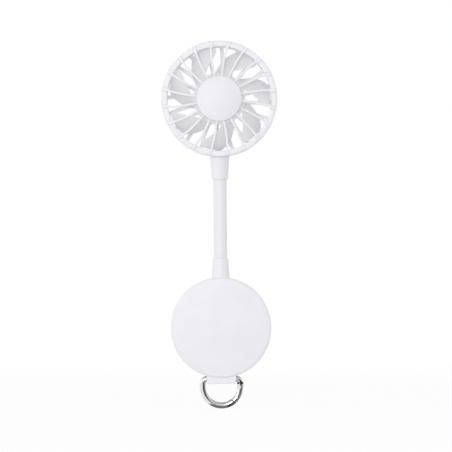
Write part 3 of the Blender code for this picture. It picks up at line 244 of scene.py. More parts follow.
class BaseSettings(bpy.types.PropertyGroup):
    """Sizes of the disc, its tab and the parts in its side."""

    radius: length("Disc radius", "Radius of the round base", size_of("front_cover").x / 2)
    edge: length("Disc edge", "Rounding of the disc's edges", 1.6 * MM)
    wall: length("Disc wall", "Thickness of the shells", 1.8 * MM)
    front_depth: length("Front shell depth", "Depth of the front shell at the side", 8.0 * MM)
    tab_width: length("Tab width", "Width of the tab under the disc", 19.0 * MM)
    tab_drop: length("Tab drop", "How far the tab hangs below the disc", 3.8 * MM)
    tab_corner: length("Tab corner", "Rounding of the tab's corners", 1.2 * MM)
    tab_front: length("Tab front", "How far the tab lies behind the disc's front", 1.2 * MM)
    tab_rear: length("Tab rear", "How far the tab lies before the disc's rear", 0.8 * MM)
    floor: length("Rear floor", "Thickness of the rear shell where the pad lies on it", 1.6 * MM)
    button_width: length("Button width", "Width of the button, up the disc's side", 7.0 * MM)
    button_depth: length("Button depth", "Depth of the button", 2.8 * MM)
    button_sink: length("Button sink", "How far the button's face lies inside the disc's side", 0.2 * MM)
    flange_width: length("Flange width", "Width of the button's flange", 8.6 * MM)
    flange_depth: length("Flange depth", "Depth of the button's flange", 3.6 * MM)
    flange_wall: length("Flange wall", "Thickness of the button's flange", 1.0 * MM)
    nub_radius: length("Nub radius", "Radius of the nub that presses the switch", 0.8 * MM)
    nub_length: length("Nub length", "How far the nub stands out of the flange", 0.8 * MM)
    socket_wall: length("Socket wall", "Thickness of the socket's metal shell", 0.35 * MM)
    tongue_width: length("Tongue width", "Width of the tongue in the socket", 6.6 * MM)
    tongue_thickness: length("Tongue thickness", "Thickness of the tongue in the socket", 0.7 * MM)
    tongue_setback: length("Tongue setback", "How far the tongue starts inside the socket's mouth", 0.8 * MM)


class RingSettings(bpy.types.PropertyGroup):
    """Sizes of the ring and its gate."""

    wire: length("Wire radius", "Radius of the ring's wire", 2.05 * MM)
    corner: length("Ring corner", "Bend of the wire at the tab", 2.4 * MM)
    tongue: length("Tongue", "Thickness of the tongue in the gate's fork", 1.3 * MM)
    tongue_end: length("Tongue end", "How far the tongue reaches past the pin", 1.2 * MM)
    fork_room: length("Fork room", "Room on each side of the tongue", 0.25 * MM)
    fork_depth: length("Fork depth", "How far the fork's slot reaches past the pin", 2.6 * MM)
    pin_hole: length("Pin hole", "Radius of the pin's hole", 0.65 * MM)
    meet: angle("Meeting place", "Where the gate meets the nose, on the lower arc", -50.0)
    slant: angle("Nose slant", "Slant of the cut between gate and nose", 16.0)


class FinishSettings(bpy.types.PropertyGroup):
    """Colours of the finishes, with their painted glows and painted shade lines."""

    shell: colour("Shell", "White moulded shells", (0.87, 0.862, 0.905))
    wheel: colour("Fan wheel", "White fan wheel", (0.62, 0.62, 0.632))
    # Painted glow: emission on the fan wheel and on the rear guard, though neither is a lamp.
    wheel_painted_glow: amount("Wheel light", "Light through the blades", 0.2)
    rear_painted_glow: amount("Rear light", "Light through the rear guard", 0.14)
    # Painted shade: tone and widths of the darker lines on the rim beside the ribs.
    rib_shade_tone: amount("Rib lines", "Shade of the lines beside the ribs", 0.88)
    rib_shade_core: length("Rib line core", "Half width of each line where it is darkest", 0.12 * MM)
    rib_shade_edge: length("Rib line edge", "Half width of each line with its soft edge", 0.38 * MM)
    neck: colour("Neck", "White silicone sleeve", (0.85, 0.846, 0.872))
    pad: colour("Pad", "Pale grey pad behind the disc", (0.74, 0.74, 0.75))
    ring: colour("Ring", "Polished nickel", (0.78, 0.78, 0.79))
    steel: colour("Steel", "Plain steel", (0.55, 0.56, 0.58))
    brass: colour("Brass", "Turned brass", (0.75, 0.58, 0.28))
    copper: colour("Copper", "Enamelled winding", (0.72, 0.4, 0.25))
    board: colour("Board", "Green solder mask", (0.03, 0.22, 0.1))
    dark: colour("Black plastic", "Black moulded plastic", (0.03, 0.03, 0.035))
    red: colour("Red lead", "Red insulation of the lead", (0.55, 0.03, 0.03))


class StageSettings(bpy.types.PropertyGroup):
    """Camera, lamps, floor and background."""

    distance: length("Camera distance", "From the camera to the front of the fan", 2.2)
    pixel: length("Pixel", "Size of one of the photo's pixels on the object", 0.6466 * MM)
    photo_plane: length("Photo plane", "How far before the disc a pixel has its size", 2.5 * MM)
    ambient: amount("Ambient", "Light from all round", 0.76)
    key_power: amount("Key lamp", "Power of the lamp by the camera", 7.6, unit="POWER")
    key_size: length("Key lamp size", "Side of the lamp by the camera", 0.4)
    key_place: offset("Key lamp place", "From the middle of the fan to the lamp", (-0.3, -1.9, 0.25))
    fill_power: amount("Fill lamp", "Power of the lamp at the left", 2.0, unit="POWER")
    fill_size: length("Fill lamp size", "Side of the lamp at the left", 0.8)
    fill_place: offset("Fill lamp place", "From the middle of the fan to the lamp", (-1.5, -0.6, 0.4))
    floor_colour: colour("Floor", "Pale floor", (0.9, 0.9, 0.9))
    floor_radius: length("Floor radius", "Radius of the round floor", 4.0)
    shadow_share: amount("Shadow", "How much of the floor's shadow shows", 0.08, max=1, subtype="FACTOR")
    shadow_near: length("Shadow near", "Radius on the floor where the shadow starts to fade", 0.3)
    shadow_far: length("Shadow far", "Radius on the floor where the shadow has faded", 0.8)
    mirror_centre: length("Mirror centre", "Height over the floor that the ring mirrors from", 12 * MM)
    mirror_black: colour("Mirrored black", "Darkest tone that the ring mirrors", (0.035, 0.035, 0.04))
    mirror_grey: colour("Mirrored grey", "Lighter tone at the right of the black", (0.28, 0.28, 0.3))
    mirror_top: colour("Mirrored top", "Tone that the ring mirrors from above", (0.33, 0.33, 0.35))


# Mesh tools


def about_x(u, v, height):
    """Place a point of a form turned about the X axis."""
    return Vector((height, u, v))


def about_y(u, v, height):
    """Place a point of a form turned about the Y axis."""
    return Vector((u, height, v))


def about_z(u, v, height):
    """Place a point of a form turned about the Z axis."""
    return Vector((u, v, height))


def softened(corners, steps=fillet_steps):
    """Points of an outline of (u, v, fillet) corners, each corner rounded by its fillet."""
    points = []
    for index, (u, v, fillet) in enumerate(corners):
        here = Vector((u, v))
        if not fillet:
            points.append(here)
            continue
        before = (Vector(corners[index - 1][:2]) - here).normalized()
        after = (Vector(corners[(index + 1) % len(corners)][:2]) - here).normalized()
        half = before.angle(after) / 2
        centre = here + (before + after).normalized() * fillet / math.sin(half)
        first = here + before * fillet / math.tan(half) - centre
        last = here + after * fillet / math.tan(half) - centre
        turn = first.angle(last)
        for step in range(steps + 1):
            share = step / steps
            weights = math.sin((1 - share) * turn), math.sin(share * turn)
            points.append(centre + (first * weights[0] + last * weights[1]) / math.sin(turn))
    return points


def section(inner, outer, low, high, low_fillet=0, high_fillet=0):
    """Corners of a square section to turn; the outer ones can be rounded. A rod has inner 0."""
    return [(inner, low, 0), (outer, low, low_fillet), (outer, high, high_fillet), (inner, high, 0)]


def arc(centre, radius, first, last, steps):
    """Points on an arc from one angle to another, in radians."""
    points = []
    for step in range(steps + 1):
        turn = first + (last - first) * step / steps
        points.append(Vector(centre) + Vector((math.cos(turn), math.sin(turn))) * radius)
    return points


def add_turned(bm, outline, steps, place):
    """Add the outline of (radius, height) points turned about an axis."""
    columns = []
    for step in range(steps):
        turn = math.tau * step / steps
        u, v = math.cos(turn), math.sin(turn)
        columns.append([bm.verts.new(place(radius * u, radius * v, height)) for radius, height in outline])
    rows = len(outline) if outline[0][0] > 0 and outline[-1][0] > 0 else len(outline) - 1
    for column, after in zip(columns, columns[1:] + columns[:1]):
        for row in range(rows):
            above = (row + 1) % len(outline)
            bm.faces.new((column[row], column[above], after[above], after[row]))
    bmesh.ops.remove_doubles(bm, verts=bm.verts, dist=weld)


def add_skin(bm, rings):
    """Add a closed form through rings of points, with a face on each end."""
    loops = [[bm.verts.new(point) for point in ring] for ring in rings]
    for first, second in zip(loops, loops[1:]):
        for index in range(len(first)):
            bm.faces.new((first[index - 1], first[index], second[index], second[index - 1]))
    bm.faces.new(loops[0])
    bm.faces.new(list(reversed(loops[-1])))


def add_prism(bm, outline, low, high, place):
    """Add an outline pushed from one height to another."""
    add_skin(bm, [[place(u, v, height) for u, v in outline] for height in (low, high)])


def add_block(bm, low, high, matrix=Matrix.Identity(4)):
    """Add an upright block between two corners, turned by a matrix."""
    outline = [(low[0], low[2]), (high[0], low[2]), (high[0], high[2]), (low[0], high[2])]
    start = len(bm.verts)
    add_prism(bm, outline, low[1], high[1], about_y)
    bm.verts.ensure_lookup_table()
    bmesh.ops.transform(bm, matrix=matrix, verts=bm.verts[start:])


def tangent_at(points, index):
    """Way along a path at one of its points."""
    return points[min(index + 1, len(points) - 1)] - points[max(index - 1, 0)]


def add_wire(bm, path, radius):
    """Add a round wire along (x, z) points in the ring's plane."""
    points = [Vector((x, mid_y, z)) for x, z in path]
    turns = [math.tau * side / wire_steps for side in range(wire_steps)]
    rings = []
    for index, point in enumerate(points):
        across = tangent_at(points, index).normalized().cross(depthwise)
        ring = [point + (depthwise * math.cos(turn) + across * math.sin(turn)) * radius for turn in turns]
        rings.append(ring)
    add_skin(bm, rings)


def rounded_path(points, rounds):
    """A path with its corners cut, again and again, and its ends kept."""
    for _ in range(rounds):
        cut = [points[0]]
        for first, second in zip(points, points[1:]):
            cut += [first.lerp(second, 0.25), first.lerp(second, 0.75)]
        points = [*cut, points[-1]]
    return points


def oblong(middle, side, up, half_width, half_depth, squareness, points=16):
    """Ring of points on an oblong, an ellipse at squareness 1 and nearer to a box below it."""
    ring = []
    for index in range(points):
        turn = math.tau * (index + 0.5) / points
        u = math.copysign(abs(math.cos(turn)) ** squareness, math.cos(turn))
        v = math.copysign(abs(math.sin(turn)) ** squareness, math.sin(turn))
        ring.append(middle + side * half_width * u + up * half_depth * v)
    return ring


def round_ring(middle, side, up, radius):
    """Ring of points round one conductor of a lead."""
    return oblong(middle, side, up, radius, radius, squareness=1.0, points=12)


def smooth(value):
    """Smooth step from 0 to 1."""
    value = min(max(value, 0), 1)
    return value * value * (3 - 2 * value)


def face_outwards(bm):
    """Turn the faces of each closed form outwards."""
    bmesh.ops.recalc_face_normals(bm, faces=bm.faces)
    waiting = set(bm.faces)
    while waiting:
        form = [waiting.pop()]
        for face in form:
            beside = {other for edge in face.edges for other in edge.link_faces} & waiting
            form.extend(beside)
            waiting -= beside
        if sum(face.calc_center_median().dot(face.normal) * face.calc_area() for face in form) < 0:
            bmesh.ops.reverse_faces(bm, faces=form)


def made(name, bm, slot=None, place=(0, 0, 0), sharp=sharp_angle, look=None):
    """Turn a bmesh into an object with smooth shading and the finish of a slot, or a look of its own."""
    face_outwards(bm)
    mesh = bpy.data.meshes.new(name)
    bm.to_mesh(mesh)
    bm.free()
    mesh.shade_smooth()
    mesh.set_sharp_from_angle(angle=sharp)
    piece = bpy.data.objects.new(name, mesh)
    piece.location = place
    bpy.context.scene.collection.objects.link(piece)
    if slot:
        mesh.materials.append(finish(look or slot))
    return piece


def settle(piece):
    """Apply the piece's modifiers to its mesh."""
    bpy.context.view_layer.update()
    mesh = bpy.data.meshes.new_from_object(piece.evaluated_get(bpy.context.evaluated_depsgraph_get()))
    piece.modifiers.clear()
    piece.data = mesh
    mesh.shade_smooth()
    mesh.set_sharp_from_angle(angle=sharp_angle)
    return piece


def carve(piece, *cutters):
    """Cut each bmesh out of the piece."""
    for index, bm in enumerate(cutters):
        cutter = made(f"{piece.name}_cutter_{index}", bm)
        modifier = piece.modifiers.new("cut", "BOOLEAN")
        modifier.solver = "EXACT"
        modifier.object = cutter
        settle(piece)
        bpy.data.objects.remove(cutter)
    return piece


def eased(piece, width, segments=3, angle_deg=40):
    """Round the piece's edges that turn by more than an angle."""
    modifier = piece.modifiers.new("ease", "BEVEL")
    modifier.width = width
    modifier.segments = segments
    modifier.limit_method = "ANGLE"
    modifier.angle_limit = math.radians(angle_deg)
    return settle(piece)


def gather(piece, *others):
    """Put other pieces' meshes into the piece, as closed forms beside its own."""
    bm = bmesh.new()
    for item in (piece, *others):
        start = len(bm.verts)
        bm.from_mesh(item.data)
        bm.verts.ensure_lookup_table()
        matrix = piece.matrix_basis.inverted() @ item.matrix_basis
        bmesh.ops.transform(bm, matrix=matrix, verts=bm.verts[start:])
    bm.to_mesh(piece.data)
    bm.free()
    for item in others:
        bpy.data.objects.remove(item)
    return piece


# Shader tools


class Wire:
    """A socket that takes part in sums, each of which adds a Math node."""

    def __init__(self, board, socket):
        self.board = board
        self.socket = socket

    def __add__(self, other):
        return self.board.sum("ADD", self, other)

    def __radd__(self, other):
        return self.board.sum("ADD", other, self)

    def __sub__(self, other):
        return self.board.sum("SUBTRACT", self, other)

    def __rsub__(self, other):
        return self.board.sum("SUBTRACT", other, self)

    def __mul__(self, other):
        return self.board.sum("MULTIPLY", self, other)

    def __rmul__(self, other):
        return self.board.sum("MULTIPLY", other, self)

    def __truediv__(self, other):
        return self.board.sum("DIVIDE", self, other)

    def __rtruediv__(self, other):
        return self.board.sum("DIVIDE", other, self)

    def wave(self):
        """Sine of the value, moved to run from 0 to 1."""
        return self.board.sum("SINE", self) * 0.5 + 0.5

    def above(self, other):
        """1 where the value is over the other."""
        return self.board.sum("GREATER_THAN", self, other)

    def between(self, low, high):
        """0 below low, 1 above high, and smooth between."""
        values = {"Value": self, "From Min": low, "From Max": high}
        node = self.board.node("ShaderNodeMapRange", {"interpolation_type": "SMOOTHSTEP"}, values)
        return Wire(self.board, node.outputs[0])

    def near_zero(self, core, edge):
        """1 up to core on either side of zero, 0 beyond edge, and smooth between."""
        return 1 - (self * self).between(core ** 2, edge ** 2)


class Board:
    """The nodes of one material or of the world."""

    def __init__(self, tree):
        self.tree = tree

    def node(self, kind, settings=None, values=None):
        """Add a node with its settings, and give its sockets values or links."""
        node = self.tree.nodes.new(kind)
        for name, value in (settings or {}).items():
            setattr(node, name, value)
        self.feed(node, values or {})
        return node

    def feed(self, node, values):
        """Give a node's sockets values or links."""
        for name, value in values.items():
            if isinstance(value, Wire):
                value = value.socket
            if isinstance(value, bpy.types.NodeSocket):
                self.tree.links.new(value, node.inputs[name])
            else:
                node.inputs[name].default_value = value

    def sum(self, operation, *terms):
        """Math on wires and numbers."""
        node = self.node("ShaderNodeMath", {"operation": operation}, dict(enumerate(terms)))
        return Wire(self, node.outputs[0])

    def vector(self, operation, *terms):
        """Vector Math on vectors; gives the node's outputs, by place or by name."""
        return self.node("ShaderNodeVectorMath", {"operation": operation}, dict(enumerate(terms))).outputs

    def split(self, vector):
        """X, Y and Z of a vector."""
        outputs = self.node("ShaderNodeSeparateXYZ", None, {0: vector}).outputs
        return [Wire(self, output) for output in outputs]

    def place(self, stretch=(1, 1, 1)):
        """The piece's own coordinates, stretched."""
        own = self.node("ShaderNodeTexCoord").outputs["Object"]
        return self.vector("MULTIPLY", own, stretch)[0]

    def axes(self):
        """The piece's own X, Y and Z."""
        return self.split(self.place())

    def noise(self, size, detail=2.0, stretch=(1, 1, 1)):
        """Noise with features of a size in metres."""
        values = {"Vector": self.place(stretch), "Scale": 1 / size, "Detail": detail}
        return Wire(self, self.node("ShaderNodeTexNoise", None, values).outputs[0])

    def cells(self, size, feature="F1"):
        """Distance in cells of a size in metres."""
        values = {"Vector": self.place(), "Scale": 1 / size}
        return Wire(self, self.node("ShaderNodeTexVoronoi", {"feature": feature}, values).outputs["Distance"])

    def blend(self, share, first, second):
        """Colour between two colours."""
        values = {0: share, 6: first, 7: second}
        return self.node("ShaderNodeMix", {"data_type": "RGBA"}, values).outputs[2]

    def bump(self, height, distance):
        """Normal of a surface with a height over it."""
        values = {"Height": height, "Distance": distance, "Strength": 1.0}
        return self.node("ShaderNodeBump", None, values).outputs[0]

    def surface(self, values):
        """Set the material's Principled shader."""
        self.feed(self.tree.nodes["Principled BSDF"], values)

    def light(self, kind, tint, strength):
        """A shader that gives light of its own, as a surface or as the background."""
        return self.node(kind, None, {"Color": tint, "Strength": strength}).outputs[0]

    def output(self, name, share, first, second):
        """Mix two shaders into the tree's output."""
        mixed = self.node("ShaderNodeMixShader", None, {0: share, 1: first, 2: second}).outputs[0]
        self.feed(self.tree.nodes[name], {"Surface": mixed})


white = (1.0, 1.0, 1.0)


def shade(tint, factor=1.0):
    """A colour with its alpha, darker by a factor."""
    return (tint[0] * factor, tint[1] * factor, tint[2] * factor, 1.0)


# Finishes


def clouded(board, tint):
    """A colour with faint clouds."""
    clouds = board.noise(size=14 * MM, detail=3.0).between(0.3, 0.7)
    return board.blend(clouds, shade(tint, 0.975), shade(tint))


def moulded(board, base, roughness, grain, grain_height, **others):
    """Moulded plastic: a base colour, fine spark-eroded grain and handling marks."""
    marks = board.noise(size=5 * MM, detail=4.0).between(0.5, 0.75)
    texture = board.noise(size=grain)
    waves = board.noise(size=6 * MM) * 3
    board.surface(
        {
            "Base Color": base,
            "Roughness": roughness + marks * 0.07 - texture * 0.05,
            "Normal": board.bump(texture + waves, grain_height),
            **others,
        }
    )


def satin(board, base, **others):
    """Satin moulded plastic of the shells."""
    gloss = {"Specular IOR Level": 0.4}
    moulded(board, base, roughness=0.46, grain=0.16 * MM, grain_height=0.006 * MM, **gloss, **others)


def shell_white(board, tints):
    """Satin white shells."""
    satin(board, clouded(board, tints.shell))


def rear_guard_white(board, tints):
    """Satin white, with a painted glow on the faces turned to the front, standing in for light through the thin
    plastic.
    """
    normal = board.node("ShaderNodeTexCoord").outputs["Normal"]
    facing = 0 - board.split(normal)[1]
    # Painted glow: emission on the faces turned to the front, though the guard is no lamp.
    glow = board.blend(facing.between(-0.3, 0.5), shade(white, 0), shade(white, tints.rear_painted_glow))
    satin(board, clouded(board, tints.shell), **{"Emission Color": glow, "Emission Strength": 1.0})


def front_guard_white(board, tints):
    """Satin white, with painted shade in a fine line beside each rib where it crosses the rim."""
    head = bpy.context.scene.fan_head
    x, y, z = board.axes()
    radius = board.sum("SQRT", x * x + z * z)
    inner, outer = rib_ends(head)
    share = (radius - inner) / (outer - inner)
    pitch = math.tau / head.rib_count
    bearing = board.sum("ARCTAN2", x, z) - head.rib_first
    turns = (bearing - share * share * head.rib_sweep + share * head.rib_lead) / pitch
    from_middle = board.sum("ABSOLUTE", turns - board.sum("ROUND", turns)) * pitch * radius
    # Painted shade: a darker line on the rim along each side of a rib.
    line = (from_middle - head.rib_rim_width / 2).near_zero(tints.rib_shade_core, tints.rib_shade_edge)
    line *= radius.above(head.radius - head.lip_width) * (0 - y).above(head.depth / 2 - head.edge)
    satin(board, board.blend(line, clouded(board, tints.shell), shade(tints.shell, tints.rib_shade_tone)))


def fan_white(board, tints):
    """White wheel, a little duller than the shells, with a painted glow standing in for light through its blades.
    """
    base = clouded(board, tints.wheel)
    # Painted glow: even emission over the whole wheel, though it is no lamp.
    glow = {"Emission Color": shade(white, tints.wheel_painted_glow), "Emission Strength": 1.0}
    moulded(board, base, roughness=0.52, grain=0.2 * MM, grain_height=0.006 * MM, **glow)


def part_black(board, tints):
    """Black moulded plastic."""
    moulded(board, clouded(board, tints.dark), roughness=0.5, grain=0.15 * MM, grain_height=0.008 * MM)


def neck_white(board, tints):
    """Matt silicone with fine dust and faint lines along the sleeve."""
    dust = board.noise(size=0.12 * MM, detail=3.0).between(0.62, 0.75)
    lines = board.noise(size=0.35 * MM, stretch=(1, 1, 0.04))
    grain = board.noise(size=0.1 * MM) * 0.6
    board.surface(
        {
            "Base Color": board.blend(dust * 0.5, shade(tints.neck), shade(tints.neck, 0.96)),
            "Roughness": 0.58 + dust * 0.12 + (lines - 0.5) * 0.06,
            "Normal": board.bump(lines + grain, distance=0.006 * MM),
            "Sheen Weight": 0.08,
        }
    )


def pad_grey(board, tints):
    """Soft pad with a fine leathery grain."""
    grain = board.cells(size=0.45 * MM, feature="SMOOTH_F1")
    lint = board.noise(size=0.4 * MM, detail=4.0).between(0.66, 0.74)
    pores = board.noise(size=0.15 * MM) * 0.3
    board.surface(
        {
            "Base Color": board.blend(grain.between(0.1, 0.8), shade(tints.pad), shade(tints.pad, 0.93)),
            "Roughness": 0.66 + lint * 0.15,
            "Normal": board.bump(grain + pores, distance=0.02 * MM),
        }
    )


def metal(board, tint, roughness, spread, scratch_height, stretch=(1, 1, 1), gap_shade=0.0):
    """Metal with fine lines that run along its shape, dark and dull where the joints' painted shade is laid on."""
    lines = board.noise(size=0.22 * MM, detail=3.0, stretch=stretch)
    film = board.noise(size=3.5 * MM, detail=3.0).between(0.4, 0.7)
    clean = board.blend(film * 0.6, shade(tint), shade(tint, 0.93))
    board.surface(
        {
            # Painted shade: the colour goes near black where the joints' shade is laid on.
            "Base Color": board.blend(gap_shade, clean, shade(tint, 0.04)),
            "Metallic": 1.0,
            "Roughness": roughness + film * spread + lines * spread * 0.5 + gap_shade * 0.3,
            "Normal": board.bump(lines, scratch_height),
        }
    )


def ring_chrome(board, tints):
    """Polished nickel with a thin film of handling, and painted shade across the joints by the gate, where the
    gaps fall dark.
    """
    ring = bpy.context.scene.fan_ring
    x, _, z = board.axes()
    hinge = z - (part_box("ring_gate")[1].z + gap / 2)
    meet_x, meet_z = meeting_place(ring)
    nose = (x - meet_x) * math.sin(ring.slant) + (z - meet_z) * math.cos(ring.slant)
    # Painted shade: dark bands across the wire at the hinge and at the nose's cut.
    hinge_shade = 0.45 * MM, 0.7 * MM
    nose_shade = 0.3 * MM, 0.55 * MM
    gap_shade = (hinge.near_zero(*hinge_shade) + nose.near_zero(*nose_shade)) * x.above(ring.wire * 2)
    metal(board, tints.ring, roughness=0.06, spread=0.05, scratch_height=0.0006 * MM, gap_shade=gap_shade)


def plain_steel(board, tints):
    """Zinc-plated steel."""
    metal(board, tints.steel, roughness=0.28, spread=0.14, scratch_height=0.003 * MM, stretch=(0.1, 1, 1))


def ferrule_brass(board, tints):
    """Turned brass."""
    metal(board, tints.brass, roughness=0.24, spread=0.1, scratch_height=0.004 * MM, stretch=(0.1, 0.1, 1))


def winding_copper(board, tints):
    """Enamelled wire, turn beside turn, with painted shade in the grooves between the turns."""
    pitch = 0.35 * MM
    turns = (board.axes()[1] * (math.tau / pitch)).wave()
    board.surface(
        {
            # Painted shade: the colour is halved in the grooves between turns.
            "Base Color": board.blend(turns, shade(tints.copper, 0.5), shade(tints.copper)),
            "Metallic": 1.0,
            "Roughness": 0.3 + board.noise(size=1 * MM) * 0.15,
            "Normal": board.bump(turns, distance=0.08 * MM),
        }
    )


def magnet_dark(board, tints):
    """Sintered magnet and ferrite."""
    specks = board.noise(size=0.3 * MM, detail=4.0)
    board.surface(
        {
            "Base Color": board.blend(specks, shade(tints.steel, 0.14), shade(tints.steel, 0.24)),
            "Metallic": 0.6,
            "Roughness": 0.42 + specks * 0.2,
            "Normal": board.bump(specks, distance=0.02 * MM),
        }
    )


def battery_wrap(board, tints):
    """Silver pouch foil with soft creases, painted darker along them as shade."""
    creases = board.cells(size=6 * MM, feature="DISTANCE_TO_EDGE").between(0.0, 0.12)
    board.surface(
        {
            # Painted shade: darker along the crease valleys, lighter on the flats.
            "Base Color": board.blend(creases, shade(tints.steel, 0.9), shade(tints.steel, 1.1)),
            "Metallic": 0.75,
            "Roughness": 0.34 + board.noise(size=2 * MM, detail=3.0) * 0.16,
            "Normal": board.bump(creases, distance=0.06 * MM),
        }
    )


def foam_black(board, tints):
    """Open black foam, its pores painted darker as shade."""
    cells = board.cells(size=0.5 * MM)
    board.surface(
        {
            # Painted shade: darker in the pits of the pores, lighter on the cell walls.
            "Base Color": board.blend(cells, shade(tints.dark, 0.6), shade(tints.dark, 2.2)),
            "Roughness": 0.85 + cells * 0.12,
            "Normal": board.bump(cells, distance=0.15 * MM),
        }
    )


def board_green(board, tints):
    """Solder mask over copper tracks."""
    x, _, z = board.axes()
    across_pitch, along_pitch = 2.4 * MM, 3.1 * MM
    across = (x * (math.tau / across_pitch) + board.noise(size=7 * MM) * 9).wave()
    along = (z * (math.tau / along_pitch) + board.noise(size=9 * MM) * 8).wave()
    tracks = (across.between(0.8, 0.9) + along.between(0.82, 0.92)).between(0.4, 0.6)
    board.surface(
        {
            "Base Color": board.blend(tracks, shade(tints.board), shade(tints.board, 1.7)),
            "Roughness": 0.32 + board.noise(size=0.8 * MM) * 0.12,
            "Normal": board.bump(tracks, distance=0.03 * MM),
        }
    )


def lead_red(board, tints):
    """Twin lead, one conductor red and one black, with a groove between."""
    side = board.axes()[0]
    groove_half = 0.12 * MM
    groove = (side * side).between(0, groove_half ** 2)
    board.surface(
        {
            "Base Color": board.blend(side.above(0), shade(tints.red), shade(tints.dark)),
            "Roughness": 0.42 + board.noise(size=0.6 * MM) * 0.12,
            "Normal": board.bump(groove, distance=0.2 * MM),
        }
    )


def clear_lens(board, tints):
    """Clear plastic with a frosted end."""
    frost = board.noise(size=0.2 * MM, detail=3.0)
    board.surface(
        {
            "Base Color": board.blend(frost, shade(tints.shell), shade(tints.shell, 0.96)),
            "Roughness": 0.12 + frost * 0.2,
            "Normal": board.bump(frost, distance=0.01 * MM),
            "Transmission Weight": 0.55,
            "IOR": 1.49,
        }
    )


finishes = {
    maker.__name__: maker
    for maker in (
        shell_white,
        front_guard_white,
        rear_guard_white,
        fan_white,
        neck_white,
        pad_grey,
        ring_chrome,
        plain_steel,
        magnet_dark,
        battery_wrap,
        foam_black,
        board_green,
        part_black,
        lead_red,
        clear_lens,
        ferrule_brass,
        winding_copper,
    )
}


def finish(slot):
    """The material of a slot, made the first time it is asked for."""
    name = f"finish_{slot}"
    material = bpy.data.materials.get(name)
    if not material:
        material = bpy.data.materials.new(name)
        material.use_nodes = True
        finishes[slot](Board(material.node_tree), bpy.context.scene.fan_finishes)
    return material


# Fan head


def bearing_point(radius, bearing, y):
    """Point at a radius and a clockwise bearing from the top, seen from the front."""
    return Vector((radius * math.sin(bearing), y, radius * math.cos(bearing)))


def add_rim(bm, head, way):
    """Add half of the round rim with its lip; way is -1 for the front half and 1 for the rear."""
    lip = head.radius - head.lip_width
    face = head.depth / 2
    inner = head.radius - head.wall
    corners = [
        (lip, face - head.lip_thickness, small_fillet),
        (lip, face, small_fillet * 1.5),
        (head.radius, face, head.edge),
        (head.radius, gap / 2, fine_fillet),
        (inner, gap / 2, fine_fillet),
        (inner, face - head.lip_thickness, small_fillet),
    ]
    outline = [(radius, way * height) for radius, height in softened(corners)]
    add_turned(bm, outline, disc_steps, about_y)


def front_rib_face(head, radius, share):
    """Front of a rib: from the hub out to the rim, then round the rim's edge."""
    rim_face = -head.depth / 2 - head.rib_raise
    hub_face = -head.depth / 2 - head.hub_rise + head.rib_raise / 2
    face = hub_face + (rim_face - hub_face) * share ** 2
    past = radius - (head.radius - head.edge)
    if past > 0:
        turn = head.edge + head.rib_raise
        face += turn - math.sqrt(turn ** 2 - past ** 2)
    return face


def rib_ends(head):
    """Radius where a front rib starts and where it ends."""
    return head.hub_radius - head.rib_depth / 2, head.radius - head.edge / 4


def add_front_ribs(bm, head, steps=28):
    """Add the curved ribs of the front guard, wider where they cross the rim."""
    inner, outer = rib_ends(head)
    flare_start = head.radius - head.lip_width - gap
    rib_squareness, rim_squareness = 0.45, 0.2
    for number in range(head.rib_count):
        rings = []
        for step in range(steps + 1):
            share = step / steps
            radius = inner + (outer - inner) * share
            bearing = head.rib_first + math.tau / head.rib_count * number
            bearing += head.rib_sweep * share ** 2 - head.rib_lead * share
            flare = smooth((radius - flare_start) / (2 * gap))
            width = head.rib_width + (head.rib_rim_width - head.rib_width) * flare
            middle = bearing_point(radius, bearing, front_rib_face(head, radius, share) + head.rib_depth / 2)
            side = bearing_point(1, bearing + math.pi / 2, 0)
            half = width / 2, head.rib_depth / 2
            squareness = rib_squareness + (rim_squareness - rib_squareness) * flare
            rings.append(oblong(middle, side, depthwise, *half, squareness))
        add_skin(bm, rings)


def add_rim_block(bm, head, steps=12):
    """Add the flat block on the rim above the collar."""
    inner = head.radius - head.lip_width + small_fillet
    outer = rib_ends(head)[1]
    front = -head.depth / 2 - head.block_raise
    rings = []
    for step in range(steps + 1):
        bearing = head.block_first + (head.block_last - head.block_first) * step / steps
        middle = bearing_point((inner + outer) / 2, bearing, front + head.lip_thickness / 2)
        out = bearing_point(1, bearing, 0)
        half = (outer - inner) / 2, head.lip_thickness / 2
        rings.append(oblong(middle, out, depthwise, *half, squareness=0.3))
    add_skin(bm, rings)


class FAN_OT_front_guard(bpy.types.Operator):
    """Make the front guard: half the rim, the hub seat and the curved ribs"""

    bl_idname = "phone_fan.front_guard"
    bl_label = "Front guard"

    def execute(self, context):
        head = context.scene.fan_head
        bm = bmesh.new()
        add_rim(bm, head, -1)
        front = -head.depth / 2 - head.hub_rise
        seat = section(0, head.hub_radius, front, front + head.hub_thickness, small_fillet, small_fillet)
        add_turned(bm, softened(seat), wheel_steps, about_y)
        add_front_ribs(bm, head)
        add_rim_block(bm, head)
        guard = made("guard_front", bm, "shell_white", head_centre, look="front_guard_white")
        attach(guard, "head")
        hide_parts("front_guard")
        return {"FINISHED"}


